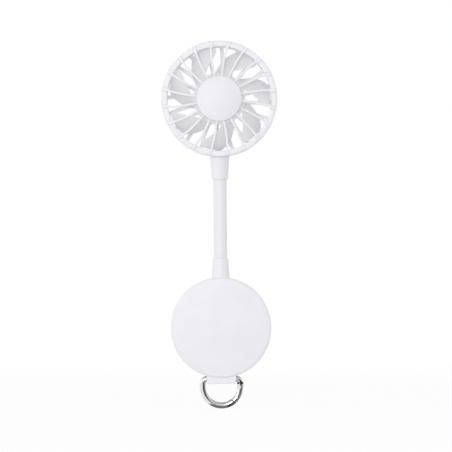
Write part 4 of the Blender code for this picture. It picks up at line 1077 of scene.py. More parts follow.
class FAN_OT_centre_cap(bpy.types.Operator):
    """Make the smooth domed cap"""

    bl_idname = "phone_fan.centre_cap"
    bl_label = "Centre cap"

    def execute(self, context):
        head = context.scene.fan_head
        rear = -head.depth / 2 - head.hub_rise - gap
        edge = rear - head.cap_edge
        ball = (head.cap_radius ** 2 + head.cap_height ** 2) / (2 * head.cap_height)
        centre = edge - head.cap_height + ball
        wall = head.cap_wall
        inner = head.cap_radius - wall
        dome_share = 0.94
        steps = 24

        def dome(radius, size):
            return centre - math.sqrt(size ** 2 - radius ** 2)

        corners = []
        for step in range(steps + 1):
            radius = head.cap_radius * dome_share * step / steps
            corners.append((radius, dome(radius, ball), 0))
        corners += [
            (head.cap_radius, edge, small_fillet),
            (head.cap_radius, rear, fine_fillet),
            (inner, rear, fine_fillet),
        ]
        for step in range(steps, -1, -1):
            radius = inner * dome_share * step / steps
            corners.append((radius, dome(radius, ball - wall), 0))
        bm = bmesh.new()
        add_turned(bm, softened(corners), wheel_steps, about_y)
        cap = made("cap_centre", bm, "shell_white", head_centre)
        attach(cap, "head")
        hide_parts("centre_cap")
        return {"FINISHED"}


class FAN_OT_rear_guard(bpy.types.Operator):
    """Make the rear guard: half the rim, the wide ribs and the motor's cup"""

    bl_idname = "phone_fan.rear_guard"
    bl_label = "Rear guard"

    def execute(self, context):
        head = context.scene.fan_head
        bm = bmesh.new()
        add_rim(bm, head, 1)
        self.add_cup(bm, head)
        self.add_ribs(bm, head)
        guard = made("guard_rear", bm, "shell_white", head_centre, look="rear_guard_white")
        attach(guard, "head")
        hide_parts("rear_guard")
        return {"FINISHED"}

    def add_cup(self, bm, head):
        """Add the cup that holds the motor, closed at the rear."""
        rear = head.depth / 2
        inner = size_of("motor_can").x / 2 + gap
        outer = inner + head.wall
        shelf = rear - head.hub_thickness - head.rear_rib_setback
        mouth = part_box("impeller")[1].y - mid_y + head.cup_room
        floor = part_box("motor_end_bell")[1].y - mid_y + head.cup_floor
        corners = [
            (0, rear, 0),
            (head.hub_radius, rear, head.edge),
            (head.hub_radius, shelf, small_fillet),
            (outer, shelf, small_fillet),
            (outer, mouth, small_fillet),
            (inner, mouth, small_fillet),
            (inner, floor, small_fillet),
            (0, floor, 0),
        ]
        add_turned(bm, softened(corners), wheel_steps, about_y)

    def add_ribs(self, bm, head, steps=20):
        """Add the wide ribs, swept the other way."""
        inner = head.hub_radius - head.rib_depth / 2
        outer = head.radius - head.wall / 2
        middle_y = head.depth / 2 - head.rear_rib_setback - head.rear_rib_depth / 2
        half = head.rear_rib_width / 2, head.rear_rib_depth / 2
        for number in range(head.rib_count):
            rings = []
            for step in range(steps + 1):
                share = step / steps
                radius = inner + (outer - inner) * share
                bearing = head.rear_rib_first + math.tau / head.rib_count * number
                bearing += head.rear_rib_sweep * share ** 2
                side = bearing_point(1, bearing + math.pi / 2, 0)
                middle = bearing_point(radius, bearing, middle_y)
                rings.append(oblong(middle, side, depthwise, *half, squareness=0.4))
            add_skin(bm, rings)


class FAN_OT_fan_wheel(bpy.types.Operator):
    """Make the fan wheel: a cup-shaped hub with swept blades"""

    bl_idname = "phone_fan.fan_wheel"
    bl_label = "Fan wheel"

    def execute(self, context):
        head = context.scene.fan_head
        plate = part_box("impeller")[0].y - mid_y + head.wheel_boss_rise
        bm = bmesh.new()
        self.add_hub(bm, head, plate)
        for number in range(head.blade_count):
            self.add_blade(bm, head, plate + head.blade_setback, math.tau / head.blade_count * number)
        wheel = made("fan_wheel", bm, "fan_white", head_centre, sharp=math.radians(50))
        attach(wheel, "fan")
        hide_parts("impeller")
        return {"FINISHED"}

    def add_hub(self, bm, head, plate):
        """Add the hub with its boss."""
        outer = head.wheel_hub_radius
        wall = head.wheel_hub_wall
        front = plate - head.wheel_boss_rise
        rear = plate + head.wheel_hub_depth
        corners = [
            (head.wheel_bore, front, 0),
            (head.wheel_boss, front, small_fillet),
            (head.wheel_boss, plate, small_fillet),
            (outer, plate, head.wheel_edge),
            (outer, rear, small_fillet),
            (outer - wall, rear, small_fillet),
            (outer - wall, plate + wall, small_fillet),
            (head.wheel_bore, plate + wall, 0),
        ]
        add_turned(bm, softened(corners), wheel_steps, about_y)

    def add_blade(self, bm, head, front_edge, start, rows=22, columns=18):
        """Add one blade as rings round its section, thin at its edges and tip."""
        inner = head.wheel_hub_radius - head.wheel_hub_wall / 2
        lead_first, lead_sweep, lead_power = math.radians(41.0), math.radians(30.0), 0.9
        trail_first, trail_sweep, trail_power = math.radians(68.0), math.radians(34.5), 1.6
        trim_share, trim_power = 0.12, 8
        tip_power, edge_power = 40, 8
        grid = []
        for row in range(rows + 1):
            share = 1 - (1 - row / rows) ** trail_power
            radius = inner + (head.blade_radius - inner) * share
            lead = start + lead_first + lead_sweep * share ** lead_power
            trail = start + trail_first + trail_sweep * (1 - (1 - share) ** trail_power)
            trim = (trail - lead) * trim_share * share ** trim_power
            tip = math.sqrt(max(1 - share ** tip_power, 0))
            line = []
            for column in range(columns + 1):
                across = (1 - math.cos(math.pi * column / columns)) / 2
                bearing = lead + trim + (trail - lead - 2 * trim) * across
                body = math.sqrt(max(1 - abs(2 * across - 1) ** edge_power, 0)) * tip
                bow = math.sin(math.pi * across) * head.blade_thickness
                middle = front_edge + head.blade_depth * (1 - across) + head.blade_thickness / 2 - bow
                half = head.blade_thickness / 2 * body
                points = [bearing_point(radius, bearing, middle + way * half) for way in (-1, 1)]
                line.append([bm.verts.new(point) for point in points])
            grid.append(line)
        self.add_blade_faces(bm, grid)
        verts = [vert for line in grid for pair in line for vert in pair]
        bmesh.ops.remove_doubles(bm, verts=verts, dist=weld)

    def add_blade_faces(self, bm, grid):
        """Skin both sides of a blade and close its root."""
        for first, second in zip(grid, grid[1:]):
            for side in (0, 1):
                for column in range(len(first) - 1):
                    corners = (first[column], first[column + 1], second[column + 1], second[column])
                    bm.faces.new([pair[side] for pair in corners])
        root = grid[0]
        bm.faces.new([pair[0] for pair in root] + [pair[1] for pair in reversed(root)])


# Neck


def add_spigot(bm, low, high, flange_z, neck):
    """Add the collar's spigot and the flange that holds it inside a shell."""
    add_turned(bm, softened(section(neck.throat, neck.spigot, low, high)), tube_steps, about_z)
    middle = Vector((0, 0, flange_z))
    half = Vector((neck.flange_width, neck.flange_depth, neck.flange_height)) / 2
    add_block(bm, middle - half, middle + half)


class FAN_OT_collars(bpy.types.Operator):
    """Make the two tapered collars that hold the neck's ends"""

    bl_idname = "phone_fan.collars"
    bl_label = "Collars"

    def execute(self, context):
        neck = context.scene.fan_neck
        head = context.scene.fan_head
        base = context.scene.fan_base
        lower_end, lower_mouth = (corner.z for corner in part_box("lower_collar"))
        upper_mouth, upper_end = (corner.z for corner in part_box("upper_collar"))
        lower_sizes = lower_mouth, neck.lower_mouth, base.radius, neck.lower_foot
        upper_sizes = upper_mouth, neck.upper_mouth, head_rim_z, neck.upper_top
        lower = self.collar("collar_lower", neck, *lower_sizes, -1)
        self.fit(lower, base.radius - fine_fillet, (0, 0, 0))
        upper = self.collar("collar_upper", neck, *upper_sizes, 1)
        self.fit(upper, head.radius - fine_fillet, head_centre)
        self.hold(lower, lower_end + neck.flange_height / 2, base.radius, 1, neck)
        self.hold(upper, upper_end - neck.flange_height / 2, head_rim_z, -1, neck)
        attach(lower, "base")
        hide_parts("lower_collar")
        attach(upper, "head")
        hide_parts("upper_collar")
        return {"FINISHED"}

    def collar(self, name, neck, mouth, mouth_radius, foot, foot_radius, way):
        """A tapered collar with its stepped bore; way is -1 downwards from its mouth and 1 upwards."""
        shelf = mouth + way * (neck.tuck + gap)
        seat_end = shelf + way * neck.seat_depth
        end = foot + way * overrun
        tuck = neck.radius + gap
        corners = [
            (tuck, mouth, fine_fillet),
            (mouth_radius, mouth, fine_fillet * 2),
            (foot_radius, foot, 0),
            (foot_radius, end, 0),
            (neck.throat, end, 0),
            (neck.throat, seat_end, 0),
            (neck.seat, seat_end, 0),
            (neck.seat, shelf, 0),
            (tuck, shelf, 0),
        ]
        return made(name, turned_form(corners, collar_steps, about_z), "shell_white", (0, mid_y, 0))

    def fit(self, collar, radius, centre):
        """Round the collar's foot to the shell that it stands on."""
        reach = size_of("front_guard").x
        carve(collar, turned_form(section(0, radius, -reach, reach), disc_steps, about_y, centre))

    def hold(self, collar, flange_z, foot, way, neck):
        """Give the collar its spigot and flange."""
        bm = bmesh.new()
        low, high = sorted((flange_z, foot + way * overrun))
        add_spigot(bm, low, high, flange_z, neck)
        gather(collar, made(f"{collar.name}_spigot", bm, None, (0, mid_y, 0)))


class FAN_OT_neck(bpy.types.Operator):
    """Make the smooth sleeve, the wound core and the twin lead, in lengths that each reach over one joint"""

    bl_idname = "phone_fan.neck"
    bl_label = "Neck"

    def execute(self, context):
        neck = context.scene.fan_neck
        heights = [joint["pos_m"][2] for joint in neck_joints]
        last = len(heights) + 1
        middles = [(low + high) / 2 for low, high in zip(heights, heights[1:])]
        lower_mouth, upper_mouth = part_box("lower_collar")[1].z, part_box("upper_collar")[0].z
        lead_low, lead_high = (corner.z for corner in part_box("neck_lead"))
        sleeve_ends = [lower_mouth - neck.tuck, *middles, upper_mouth + neck.tuck]
        core_ends = [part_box("neck_core_1")[0].z, *middles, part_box(f"neck_core_{last}")[1].z]
        lead_ends = [lead_low, *middles, lead_high]
        reach_share = 0.96
        reach = (heights[1] - heights[0]) / 2 * reach_share
        sleeve_sizes = "neck_white", neck.radius, neck.bore, 0
        core_sizes = "plain_steel", neck.core, neck.core_bore, neck.core_groove
        for number, joint in enumerate(neck_joints, 1):
            start = Vector((0, mid_y, heights[number - 1] - reach))
            end = Vector((0, mid_y, heights[number - 1] + reach))
            ends = slice(number - 1, number + 1)
            sleeve = self.tube(f"neck_skin_{number}", *sleeve_sizes, *sleeve_ends[ends])
            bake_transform(sleeve)
            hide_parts(f"neck_sleeve_{number}")
            core = self.tube(f"neck_wound_core_{number}", *core_sizes, *core_ends[ends])
            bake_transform(core)
            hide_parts(f"neck_core_{number}")
            lead = self.lead(number, neck.lead_wire, *lead_ends[ends])
            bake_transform(lead)
            if number == 1:
                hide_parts("neck_lead")
        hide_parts(f"neck_sleeve_{last}")
        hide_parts(f"neck_core_{last}")
        return {"FINISHED"}

    def levels(self, low, high, row_height):
        """Heights of the rows of one length."""
        rows = max(round((high - low) / row_height), 2)
        return [low + (high - low) * row / rows for row in range(rows + 1)]

    def tube(self, name, slot, radius, bore, groove, low, high):
        """One length of a tube, closed round its bore, with a groove at every second row."""
        levels = self.levels(low, high, sleeve_row)
        outline = [(radius - groove * (row % 2), level) for row, level in enumerate(levels)]
        outline += [(bore, level) for level in reversed(levels)]
        bm = bmesh.new()
        add_turned(bm, outline, tube_steps, about_z)
        return made(name, bm, slot, (0, mid_y, 0))

    def lead(self, number, wire, low, high):
        """One length of the twin lead, two conductors side by side."""
        bm = bmesh.new()
        for side in (-1, 1):
            middles = [Vector((side * wire, 0, level)) for level in self.levels(low, high, lead_row)]
            add_skin(bm, [round_ring(middle, sideways, depthwise, wire) for middle in middles])
        return made(f"neck_twin_lead_{number}", bm, "lead_red", (0, mid_y, 0))


class FAN_OT_head_lead(bpy.types.Operator):
    """Make the white twin lead that runs up behind the fan wheel to the motor"""

    bl_idname = "phone_fan.head_lead"
    bl_label = "Head lead"

    def execute(self, context):
        head = context.scene.fan_head
        wire = context.scene.fan_neck.lead_wire
        start_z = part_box("head_lead")[0].z + wire / 2
        side_share = 1.2
        rib_x = (wire - size_of("head_lead").x / 2) * side_share
        seat_y = mid_y + head.depth / 2 - head.rear_rib_setback - head.rear_rib_depth - gap - wire
        bell_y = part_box("motor_end_bell")[1].y - head.cup_floor + gap + wire
        can_radius = size_of("motor_can").x / 2
        path = [
            Vector((0, mid_y, start_z)),
            Vector((0, mid_y + wire * 3, start_z + wire * 2)),
            Vector((rib_x / 2, (mid_y + seat_y) / 2, start_z + wire * 4)),
            Vector((rib_x, seat_y, start_z + wire * 9)),
            Vector((rib_x, seat_y, (head_centre.z + start_z) / 2)),
            Vector((rib_x, seat_y, head_centre.z - head.hub_radius - wire)),
            Vector((rib_x, bell_y, head_centre.z - can_radius + wire * 2)),
            Vector((rib_x, bell_y, head_centre.z - can_radius / 2)),
        ]
        bm = bmesh.new()
        for side in (-1, 1):
            add_skin(bm, self.conductor(rounded_path(path, 3), side * wire, wire))
        lead = made("head_twin_lead", bm, "neck_white")
        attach(lead, "head")
        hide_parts("head_lead")
        return {"FINISHED"}

    def conductor(self, points, shift, wire):
        """Rings round one of the two conductors, a little to one side of the path."""
        rings = []
        for index, point in enumerate(points):
            up = tangent_at(points, index).cross(sideways).normalized()
            rings.append(round_ring(point + sideways * shift, sideways, up, wire))
        return rings


# Base disc


def pill(width, depth, centre_y, centre_z):
    """Outline with round ends, seen along X; width is up and depth is along Y."""
    y, z = depth / 2, width / 2
    fillet = min(y, z) * 0.95
    corners = [
        (centre_y - y, centre_z - z, fillet),
        (centre_y + y, centre_z - z, fillet),
        (centre_y + y, centre_z + z, fillet),
        (centre_y - y, centre_z + z, fillet),
    ]
    return softened(corners, 8)


def prism_form(outline, low, high, place):
    """A bmesh of an outline pushed from one height to another."""
    bm = bmesh.new()
    add_prism(bm, outline, low, high, place)
    return bm


def turned_form(corners, steps, place, shift=(0, 0, 0)):
    """A bmesh of turned (radius, height, fillet) corners, moved by a shift."""
    bm = bmesh.new()
    add_turned(bm, softened(corners), steps, place)
    bmesh.ops.translate(bm, vec=Vector(shift), verts=bm.verts)
    return bm


def bar_bore(base, ring):
    """Cutter for the bore of the ring's bar."""
    corners = section(0, ring.wire + gap, -base.tab_width, base.tab_width)
    return turned_form(corners, tube_steps, about_x, (0, mid_y, ring_bar_z))


class FAN_OT_front_shell(bpy.types.Operator):
    """Make the disc's plain front shell, with the openings in its side"""

    bl_idname = "phone_fan.front_shell"
    bl_label = "Front shell"

    def execute(self, context):
        base = context.scene.fan_base
        ring = context.scene.fan_ring
        parting = disc_front_y + base.front_depth - gap / 2
        inner = base.radius - base.wall
        corners = [
            (0, disc_front_y, 0),
            (base.radius, disc_front_y, base.edge),
            (base.radius, parting, fine_fillet),
            (inner, parting, fine_fillet),
            (inner, disc_front_y + base.wall, small_fillet),
            (0, disc_front_y + base.wall, 0),
        ]
        shell = made("shell_front", turned_form(corners, disc_steps, about_y), "shell_white")
        carve(shell, bar_bore(base, ring), *self.side_openings(base, inner - overrun, base.radius + overrun))
        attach(shell, "base")
        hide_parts("front_cover")
        return {"FINISHED"}

    def side_openings(self, base, low, high):
        """Cutters for the button, the socket and the light."""
        button = middle_of("power_button")
        socket = middle_of("usb_socket")
        light = middle_of("light_pipe")
        socket_size = size_of("usb_socket")
        button_hole = pill(base.button_width + 2 * gap, base.button_depth + 2 * gap, button.y, button.z)
        socket_hole = pill(socket_size.z + 2 * gap, socket_size.y + 2 * gap, socket.y, socket.z)
        light_hole = section(0, size_of("light_pipe").z / 2 + gap, low, high)
        return [
            prism_form(button_hole, low, high, about_x),
            prism_form(socket_hole, -high, -low, about_x),
            turned_form(light_hole, rod_steps, about_x, (0, light.y, light.z)),
        ]


class FAN_OT_rear_shell(bpy.types.Operator):
    """Make the disc's rear shell with the tab that carries the ring"""

    bl_idname = "phone_fan.rear_shell"
    bl_label = "Rear shell"

    def execute(self, context):
        base = context.scene.fan_base
        ring = context.scene.fan_ring
        parting = disc_front_y + base.front_depth + gap / 2
        inner = base.radius - base.wall
        recess = size_of("rear_pad").x / 2 + gap
        floor = pad_front_y - gap
        edge_share = 0.6
        corners = [
            (0, floor, 0),
            (recess, floor, fine_fillet),
            (recess, shell_rear_y, fine_fillet),
            (base.radius, shell_rear_y, (base.radius - recess) * edge_share),
            (base.radius, parting, fine_fillet),
            (inner, parting, fine_fillet),
            (inner, floor - base.floor, small_fillet),
            (0, floor - base.floor, 0),
        ]
        shell = made("shell_rear", turned_form(corners, disc_steps, about_y), "shell_white")
        front = disc_front_y + base.tab_front
        rear = shell_rear_y - base.tab_rear
        outer = self.tab(base, base.radius - fine_fillet, front, rear, "tab")
        root = self.tab(base, base.radius - base.wall / 2, parting, rear - gap, "tab_root", gap)
        for piece in (shell, outer, root):
            carve(piece, bar_bore(base, ring))
        gather(shell, outer, root)
        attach(shell, "base")
        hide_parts("rear_cover")
        return {"FINISHED"}

    def tab(self, base, top_radius, front, rear, name, inset=0.0):
        """A block with rounded lower corners, closed on top by an arc of the disc; inset makes it smaller."""
        half = base.tab_width / 2 - inset
        bottom = -base.radius - base.tab_drop + inset
        corner = base.tab_corner
        lean = math.asin(half / top_radius)
        points = arc((half - corner, bottom + corner), corner, 0, -math.pi / 2, 8)
        points += arc((-half + corner, bottom + corner), corner, -math.pi / 2, -math.pi, 8)
        points += arc((0, 0), top_radius, -math.pi / 2 - lean, -math.pi / 2 + lean, 24)
        piece = made(name, prism_form(points, front, rear, about_y))
        return eased(piece, small_fillet, segments=4, angle_deg=60)


class FAN_OT_rear_pad(bpy.types.Operator):
    """Make the soft pad that lies against the phone"""

    bl_idname = "phone_fan.rear_pad"
    bl_label = "Rear pad"

    def execute(self, context):
        radius = size_of("rear_pad").x / 2
        corners = section(0, radius, pad_front_y, pad_rear_y, fine_fillet, small_fillet)
        pad = made("pad_rear", turned_form(corners, disc_steps, about_y), "pad_grey")
        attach(pad, "base")
        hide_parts("rear_pad")
        return {"FINISHED"}


class FAN_OT_side_parts(bpy.types.Operator):
    """Make the button, the light's window and the charging socket in the disc's side"""

    bl_idname = "phone_fan.side_parts"
    bl_label = "Side parts"

    def execute(self, context):
        self.button(context.scene.fan_base)
        self.window()
        self.socket(context.scene.fan_base)
        return {"FINISHED"}

    def button(self, base):
        """Button whose face follows the disc's side."""
        middle = middle_of("power_button")
        nub_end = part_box("power_button")[0].x
        flange_low = nub_end + base.nub_length
        flange_high = flange_low + base.flange_wall
        outline = pill(base.button_width, base.button_depth, middle.y, middle.z)
        cap = prism_form(outline, flange_high - small_fillet, base.radius, about_x)
        button = made("button", cap, "shell_white")
        reach = size_of("front_cover").y
        face = base.radius - base.button_sink
        outside = section(face, base.radius + overrun, mid_y - reach, mid_y + reach)
        carve(button, turned_form(outside, shaper_steps, about_y))
        eased(button, small_fillet, segments=4, angle_deg=50)
        rim = pill(base.flange_width, base.flange_depth, middle.y, middle.z)
        flange = made("button_flange", prism_form(rim, flange_low, flange_high, about_x))
        rod = section(0, base.nub_radius, nub_end, flange_high)
        nub = made("button_nub", turned_form(rod, rod_steps, about_x, (0, middle.y, middle.z)))
        gather(button, flange, nub)
        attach(button, "button")
        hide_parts("power_button")

    def window(self):
        """Clear rod with a rounded end."""
        middle = middle_of("light_pipe")
        low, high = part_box("light_pipe")
        radius = size_of("light_pipe").z / 2
        dome_share = 0.45
        corners = section(0, radius, low.x, high.x, high_fillet=radius * dome_share)
        form = turned_form(corners, rod_steps, about_x, (0, middle.y, middle.z))
        window = made("light_window", form, "clear_lens")
        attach(window, "base")
        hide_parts("light_pipe")

    def socket(self, base):
        """Metal shell of the socket, its mouth cut to the disc's side, and the tongue in it."""
        middle = middle_of("usb_socket")
        low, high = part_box("usb_socket")
        size = size_of("usb_socket")
        wall = base.socket_wall
        bottom = low.x + size.x - size.y
        outer = pill(size.z, size.y, middle.y, middle.z)
        inner = pill(size.z - 2 * wall, size.y - 2 * wall, middle.y, middle.z)
        shell = made("socket_shell", prism_form(outer, low.x, high.x, about_x), "plain_steel")
        side = base.radius - gap / 2
        outside = turned_form(section(side, side + size.y, low.y - gap, high.y + gap), disc_steps, about_y)
        carve(shell, prism_form(inner, low.x - overrun, bottom, about_x), outside)
        edge_share = 0.3
        eased(shell, wall * edge_share, segments=2, angle_deg=50)
        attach(shell, "base")
        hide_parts("usb_socket")
        half = Vector((0, base.tongue_thickness, base.tongue_width)) / 2
        start = Vector((low.x + base.tongue_setback, middle.y, middle.z)) - half
        end = Vector((bottom + wall, middle.y, middle.z)) + half
        bm = bmesh.new()
        add_block(bm, start, end)
        tongue = eased(made("socket_tongue", bm, "part_black"), fine_fillet, segments=2, angle_deg=50)
        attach(tongue, "base")


# Ring


def meeting_place(ring):
    """Where the gate meets the nose, in X and Z."""
    half = gate_pivot.x
    return half * math.cos(ring.meet), ring_arc_z(ring) + half * math.sin(ring.meet)


def trim_block(ring, side, size=7.2 * MM):
    """Cutter for the slanted meeting of gate and nose; side 1 trims the bow and -1 the gate."""
    meet_x, meet_z = meeting_place(ring)
    place = Matrix.Translation((meet_x, mid_y, meet_z)) @ Matrix.Rotation(ring.slant, 4, "Y")
    low = Vector((-size / 2, -size / 2, -size / 2 + side * (size / 2 - gap / 2)))
    bm = bmesh.new()
    add_block(bm, low, low + Vector((size, size, size)), place)
    return bm


def ring_arc_z(ring):
    """Height of the lower arc's centre."""
    return cad_low.z + ring.wire + gate_pivot.x


def pin_cutter(ring):
    """Cutter for the pin's hole."""
    reach = ring.wire + overrun
    return turned_form(section(0, ring.pin_hole, -reach, reach), rod_steps, about_y, gate_pivot)


class FAN_OT_ring(bpy.types.Operator):
    """Make the polished ring, its gate and the gate's pin"""

    bl_idname = "phone_fan.ring"
    bl_label = "Ring"

    def execute(self, context):
        ring = context.scene.fan_ring
        overlap = math.radians(14.0)
        self.bow(ring, overlap)
        self.gate(ring, overlap)
        self.pin()
        return {"FINISHED"}

    def bow(self, ring, overlap):
        """Bent wire from the gate's tongue round to the nose."""
        half = gate_pivot.x
        bend = ring.corner
        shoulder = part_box("ring_gate")[1].z + gap
        tongue_end = gate_pivot.z - ring.tongue_end
        path = [(half, tongue_end)]
        path += arc((half - bend, ring_bar_z - bend), bend, 0, math.pi / 2, 14)
        path += arc((-half + bend, ring_bar_z - bend), bend, math.pi / 2, math.pi, 14)
        path += arc((0, ring_arc_z(ring)), half, math.pi, math.tau + ring.meet + overlap, 72)
        bm = bmesh.new()
        add_wire(bm, path, ring.wire)
        bow = made("d_ring_bow", bm, "ring_chrome")
        cutters = []
        reach = ring.wire + overrun
        for side in (-1, 1):
            near, far = sorted((side * ring.tongue / 2, side * reach))
            low = (half - reach, mid_y + near, tongue_end - overrun)
            cutter = bmesh.new()
            add_block(cutter, low, (half + reach, mid_y + far, shoulder))
            cutters.append(cutter)
        carve(bow, *cutters, pin_cutter(ring), trim_block(ring, 1))
        eased(bow, fine_fillet)
        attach(bow, "ring")
        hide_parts("ring_bow")

    def gate(self, ring, overlap):
        """Sprung gate, forked over the tongue."""
        half = gate_pivot.x
        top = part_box("ring_gate")[1].z
        path = [(half, top), (half, ring_arc_z(ring))]
        path += arc((0, ring_arc_z(ring)), half, 0, ring.meet - overlap, 32)[1:]
        bm = bmesh.new()
        add_wire(bm, path, ring.wire)
        gate = made("d_ring_gate", bm, "ring_chrome")
        reach = ring.wire + overrun
        slot_half = ring.tongue / 2 + ring.fork_room
        slot = bmesh.new()
        low = (half - reach, mid_y - slot_half, gate_pivot.z - ring.fork_depth)
        add_block(slot, low, (half + reach, mid_y + slot_half, top + overrun))
        knuckle = top - gate_pivot.z
        corner = arc((half, gate_pivot.z), knuckle, math.pi / 2, math.pi, 12)
        corner += [(half - reach, gate_pivot.z), (half - reach, top + overrun), (half, top + overrun)]
        relief = prism_form(corner, mid_y - reach, mid_y + reach, about_y)
        carve(gate, slot, relief, pin_cutter(ring), trim_block(ring, -1))
        eased(gate, fine_fillet)
        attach(gate, "gate")
        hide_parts("ring_gate")

    def pin(self):
        """Pin with lightly rounded heads."""
        size = size_of("gate_pin")
        radius = size.z / 2
        half = size.y / 2
        corners = section(0, radius, -half, half, radius / 2, radius / 2)
        pin = made("d_ring_pin", turned_form(corners, rod_steps, about_y, gate_pivot), "plain_steel")
        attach(pin, "ring")
        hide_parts("gate_pin")


# Inner parts and stage


class FAN_OT_inner_parts(bpy.types.Operator):
    """Give every CAD node that stays its finish"""

    bl_idname = "phone_fan.inner_parts"
    bl_label = "Inner parts"

    def execute(self, context):
        for part in frame["record"]["subparts"]:
            for place in frame["nodes"][part["node"]].material_slots:
                place.material = finish(part["material_slot"])
        return {"FINISHED"}


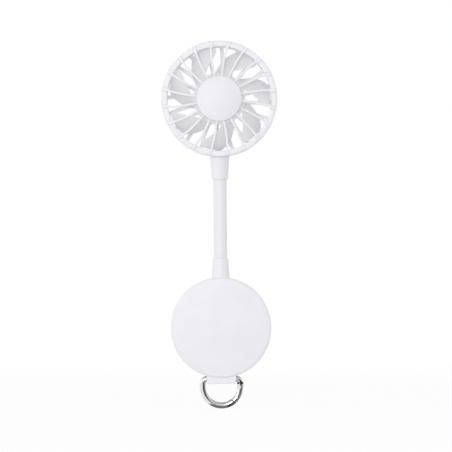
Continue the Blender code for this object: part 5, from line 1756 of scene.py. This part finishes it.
class FAN_OT_stage(bpy.types.Operator):
    """Set the pale floor, the soft light, the white background and the camera"""

    bl_idname = "phone_fan.stage"
    bl_label = "Stage"

    def execute(self, context):
        stage = context.scene.fan_stage
        context.scene.view_settings.view_transform = "Standard"
        self.floor(stage)
        self.world(context.scene, stage)
        centre = Vector((0, mid_y, (cad_low.z + cad_high.z) / 2))
        self.lamp("key_lamp", centre, Vector(stage.key_place), stage.key_size, stage.key_power)
        self.lamp("fill_lamp", centre, Vector(stage.fill_place), stage.fill_size, stage.fill_power)
        self.camera(context.scene, stage)
        return {"FINISHED"}

    def seen(self, board):
        """1 for what the camera sees, by itself, in gloss or through glass."""
        path = board.node("ShaderNodeLightPath").outputs
        names = "Is Camera Ray", "Is Glossy Ray", "Is Transmission Ray"
        camera, glossy, clear = (Wire(board, path[name]) for name in names)
        return board.sum("MAXIMUM", board.sum("MAXIMUM", camera, glossy), clear), glossy

    def mirrored(self, board, stage, way, glossy):
        """White, with what the ring mirrors: a dark side with a lit patch in it, and grey above and below."""
        dark_way = Vector((0.62, -0.72, -0.6))
        patch_strength, below_strength = 0.8, 0.85
        x, y, z = board.split(way)
        down = 0 - z
        side = (x * dark_way.x + z * dark_way.z + y * dark_way.y).between(0.57, 0.67)
        patch = (1 - (x * x).between(0.03, 0.1)) * down.between(0.04, 0.14)
        below = down.between(0.7, 0.82) * below_strength
        dark = board.sum("MAXIMUM", side * (1 - patch * patch_strength), below) * glossy
        bright = board.blend(z.between(0.5, 0.9) * glossy, shade(white), shade(stage.mirror_top))
        dim = board.blend(x.between(0.45, 0.95), shade(stage.mirror_black), shade(stage.mirror_grey))
        return board.blend(dark, bright, dim)

    def floor(self, stage):
        """Round pale floor, white to the camera except for a soft shadow."""
        bm = bmesh.new()
        bmesh.ops.create_circle(bm, cap_ends=True, segments=floor_steps, radius=stage.floor_radius)
        mesh = bpy.data.meshes.new("floor")
        bm.to_mesh(mesh)
        bm.free()
        floor = bpy.data.objects.new("floor", mesh)
        floor.location = (0, 0, cad_low.z - fine_fillet)
        bpy.context.scene.collection.objects.link(floor)
        material = bpy.data.materials.new("floor_pale")
        material.use_nodes = True
        board = Board(material.node_tree)
        seen, glossy = self.seen(board)
        far = Wire(board, board.vector("LENGTH", board.place())["Value"])
        clear = 1 - (1 - far.between(stage.shadow_near, stage.shadow_far)) * stage.shadow_share
        matt = board.node("ShaderNodeBsdfDiffuse", None, {"Color": shade(stage.floor_colour)}).outputs[0]
        away = board.vector("SUBTRACT", board.place(), (0, mid_y, stage.mirror_centre))[0]
        view = self.mirrored(board, stage, board.vector("NORMALIZE", away)[0], glossy)
        board.output("Material Output", seen * clear, matt, board.light("ShaderNodeEmission", view, 1.0))
        mesh.materials.append(material)

    def world(self, scene, stage):
        """Even light, a white background, and a dark side for the polished ring to mirror."""
        world = bpy.data.worlds.new("studio")
        world.use_nodes = True
        scene.world = world
        board = Board(world.node_tree)
        seen, glossy = self.seen(board)
        way = board.node("ShaderNodeTexCoord").outputs["Generated"]
        light = board.light("ShaderNodeBackground", shade(white), stage.ambient)
        back = board.light("ShaderNodeBackground", self.mirrored(board, stage, way, glossy), 1.0)
        board.output("World Output", seen, light, back)

    def lamp(self, name, target, away, size, power):
        """A soft square lamp that points at the object."""
        data = bpy.data.lights.new(name, "AREA")
        data.size = size
        data.energy = power
        lamp = bpy.data.objects.new(name, data)
        lamp.location = target + away
        lamp.rotation_mode = "QUATERNION"
        lamp.rotation_quaternion = (-away).to_track_quat("-Z", "Y")
        bpy.context.scene.collection.objects.link(lamp)

    def camera(self, scene, stage):
        """Camera square to the front, where the photo's is."""
        image_px = 452
        head_px = Vector((219.25, 98.6))
        disc_px = Vector((221.1, 328.0))
        middle_px = Vector((image_px, image_px)) / 2
        lean = math.atan2(disc_px.x - head_px.x, disc_px.y - head_px.y)
        right = Vector((math.cos(lean), 0, -math.sin(lean)))
        up = Vector((math.sin(lean), 0, math.cos(lean)))
        shift = (disc_px - middle_px) * stage.pixel
        front_y = disc_front_y - stage.photo_plane
        data = bpy.data.cameras.new("camera")
        data.lens = data.sensor_width * stage.distance / (image_px * stage.pixel)
        data.clip_end = 20
        camera = bpy.data.objects.new("camera", data)
        camera.location = up * shift.y - right * shift.x + Vector((0, front_y - stage.distance, 0))
        camera.rotation_mode = "QUATERNION"
        camera.rotation_quaternion = Matrix((right, up, (0, -1, 0))).transposed().to_quaternion()
        scene.collection.objects.link(camera)
        scene.camera = camera


class FAN_PT_panel(bpy.types.Panel):
    """Settings and pieces of the fan"""

    bl_idname = "FAN_PT_panel"
    bl_label = "Phone fan"
    bl_space_type = "VIEW_3D"
    bl_region_type = "UI"
    bl_category = "Phone fan"

    def draw(self, context):
        for operator in operators:
            self.layout.operator(operator.bl_idname)
        for name in groups:
            box = self.layout.box()
            box.label(text=groups[name].__doc__)
            settings = getattr(context.scene, name)
            for setting in groups[name].__annotations__:
                box.prop(settings, setting)


groups = {
    "fan_head": HeadSettings,
    "fan_neck": NeckSettings,
    "fan_base": BaseSettings,
    "fan_ring": RingSettings,
    "fan_finishes": FinishSettings,
    "fan_stage": StageSettings,
}

operators = (
    FAN_OT_front_guard,
    FAN_OT_centre_cap,
    FAN_OT_rear_guard,
    FAN_OT_fan_wheel,
    FAN_OT_collars,
    FAN_OT_neck,
    FAN_OT_head_lead,
    FAN_OT_front_shell,
    FAN_OT_rear_shell,
    FAN_OT_rear_pad,
    FAN_OT_side_parts,
    FAN_OT_ring,
    FAN_OT_inner_parts,
    FAN_OT_stage,
)


def register():
    """Add the classes and the scene's settings."""
    for kind in (*groups.values(), *operators, FAN_PT_panel):
        bpy.utils.register_class(kind)
    for name, kind in groups.items():
        setattr(bpy.types.Scene, name, PointerProperty(type=kind))


def unregister():
    """Remove the scene's settings and the classes."""
    for name in groups:
        delattr(bpy.types.Scene, name)
    for kind in reversed((*groups.values(), *operators, FAN_PT_panel)):
        bpy.utils.unregister_class(kind)


def main():
    """Make every piece and the stage."""
    register()
    for operator in operators:
        group, name = operator.bl_idname.split(".")
        getattr(getattr(bpy.ops, group), name)()


if __name__ == "__main__":
    main()
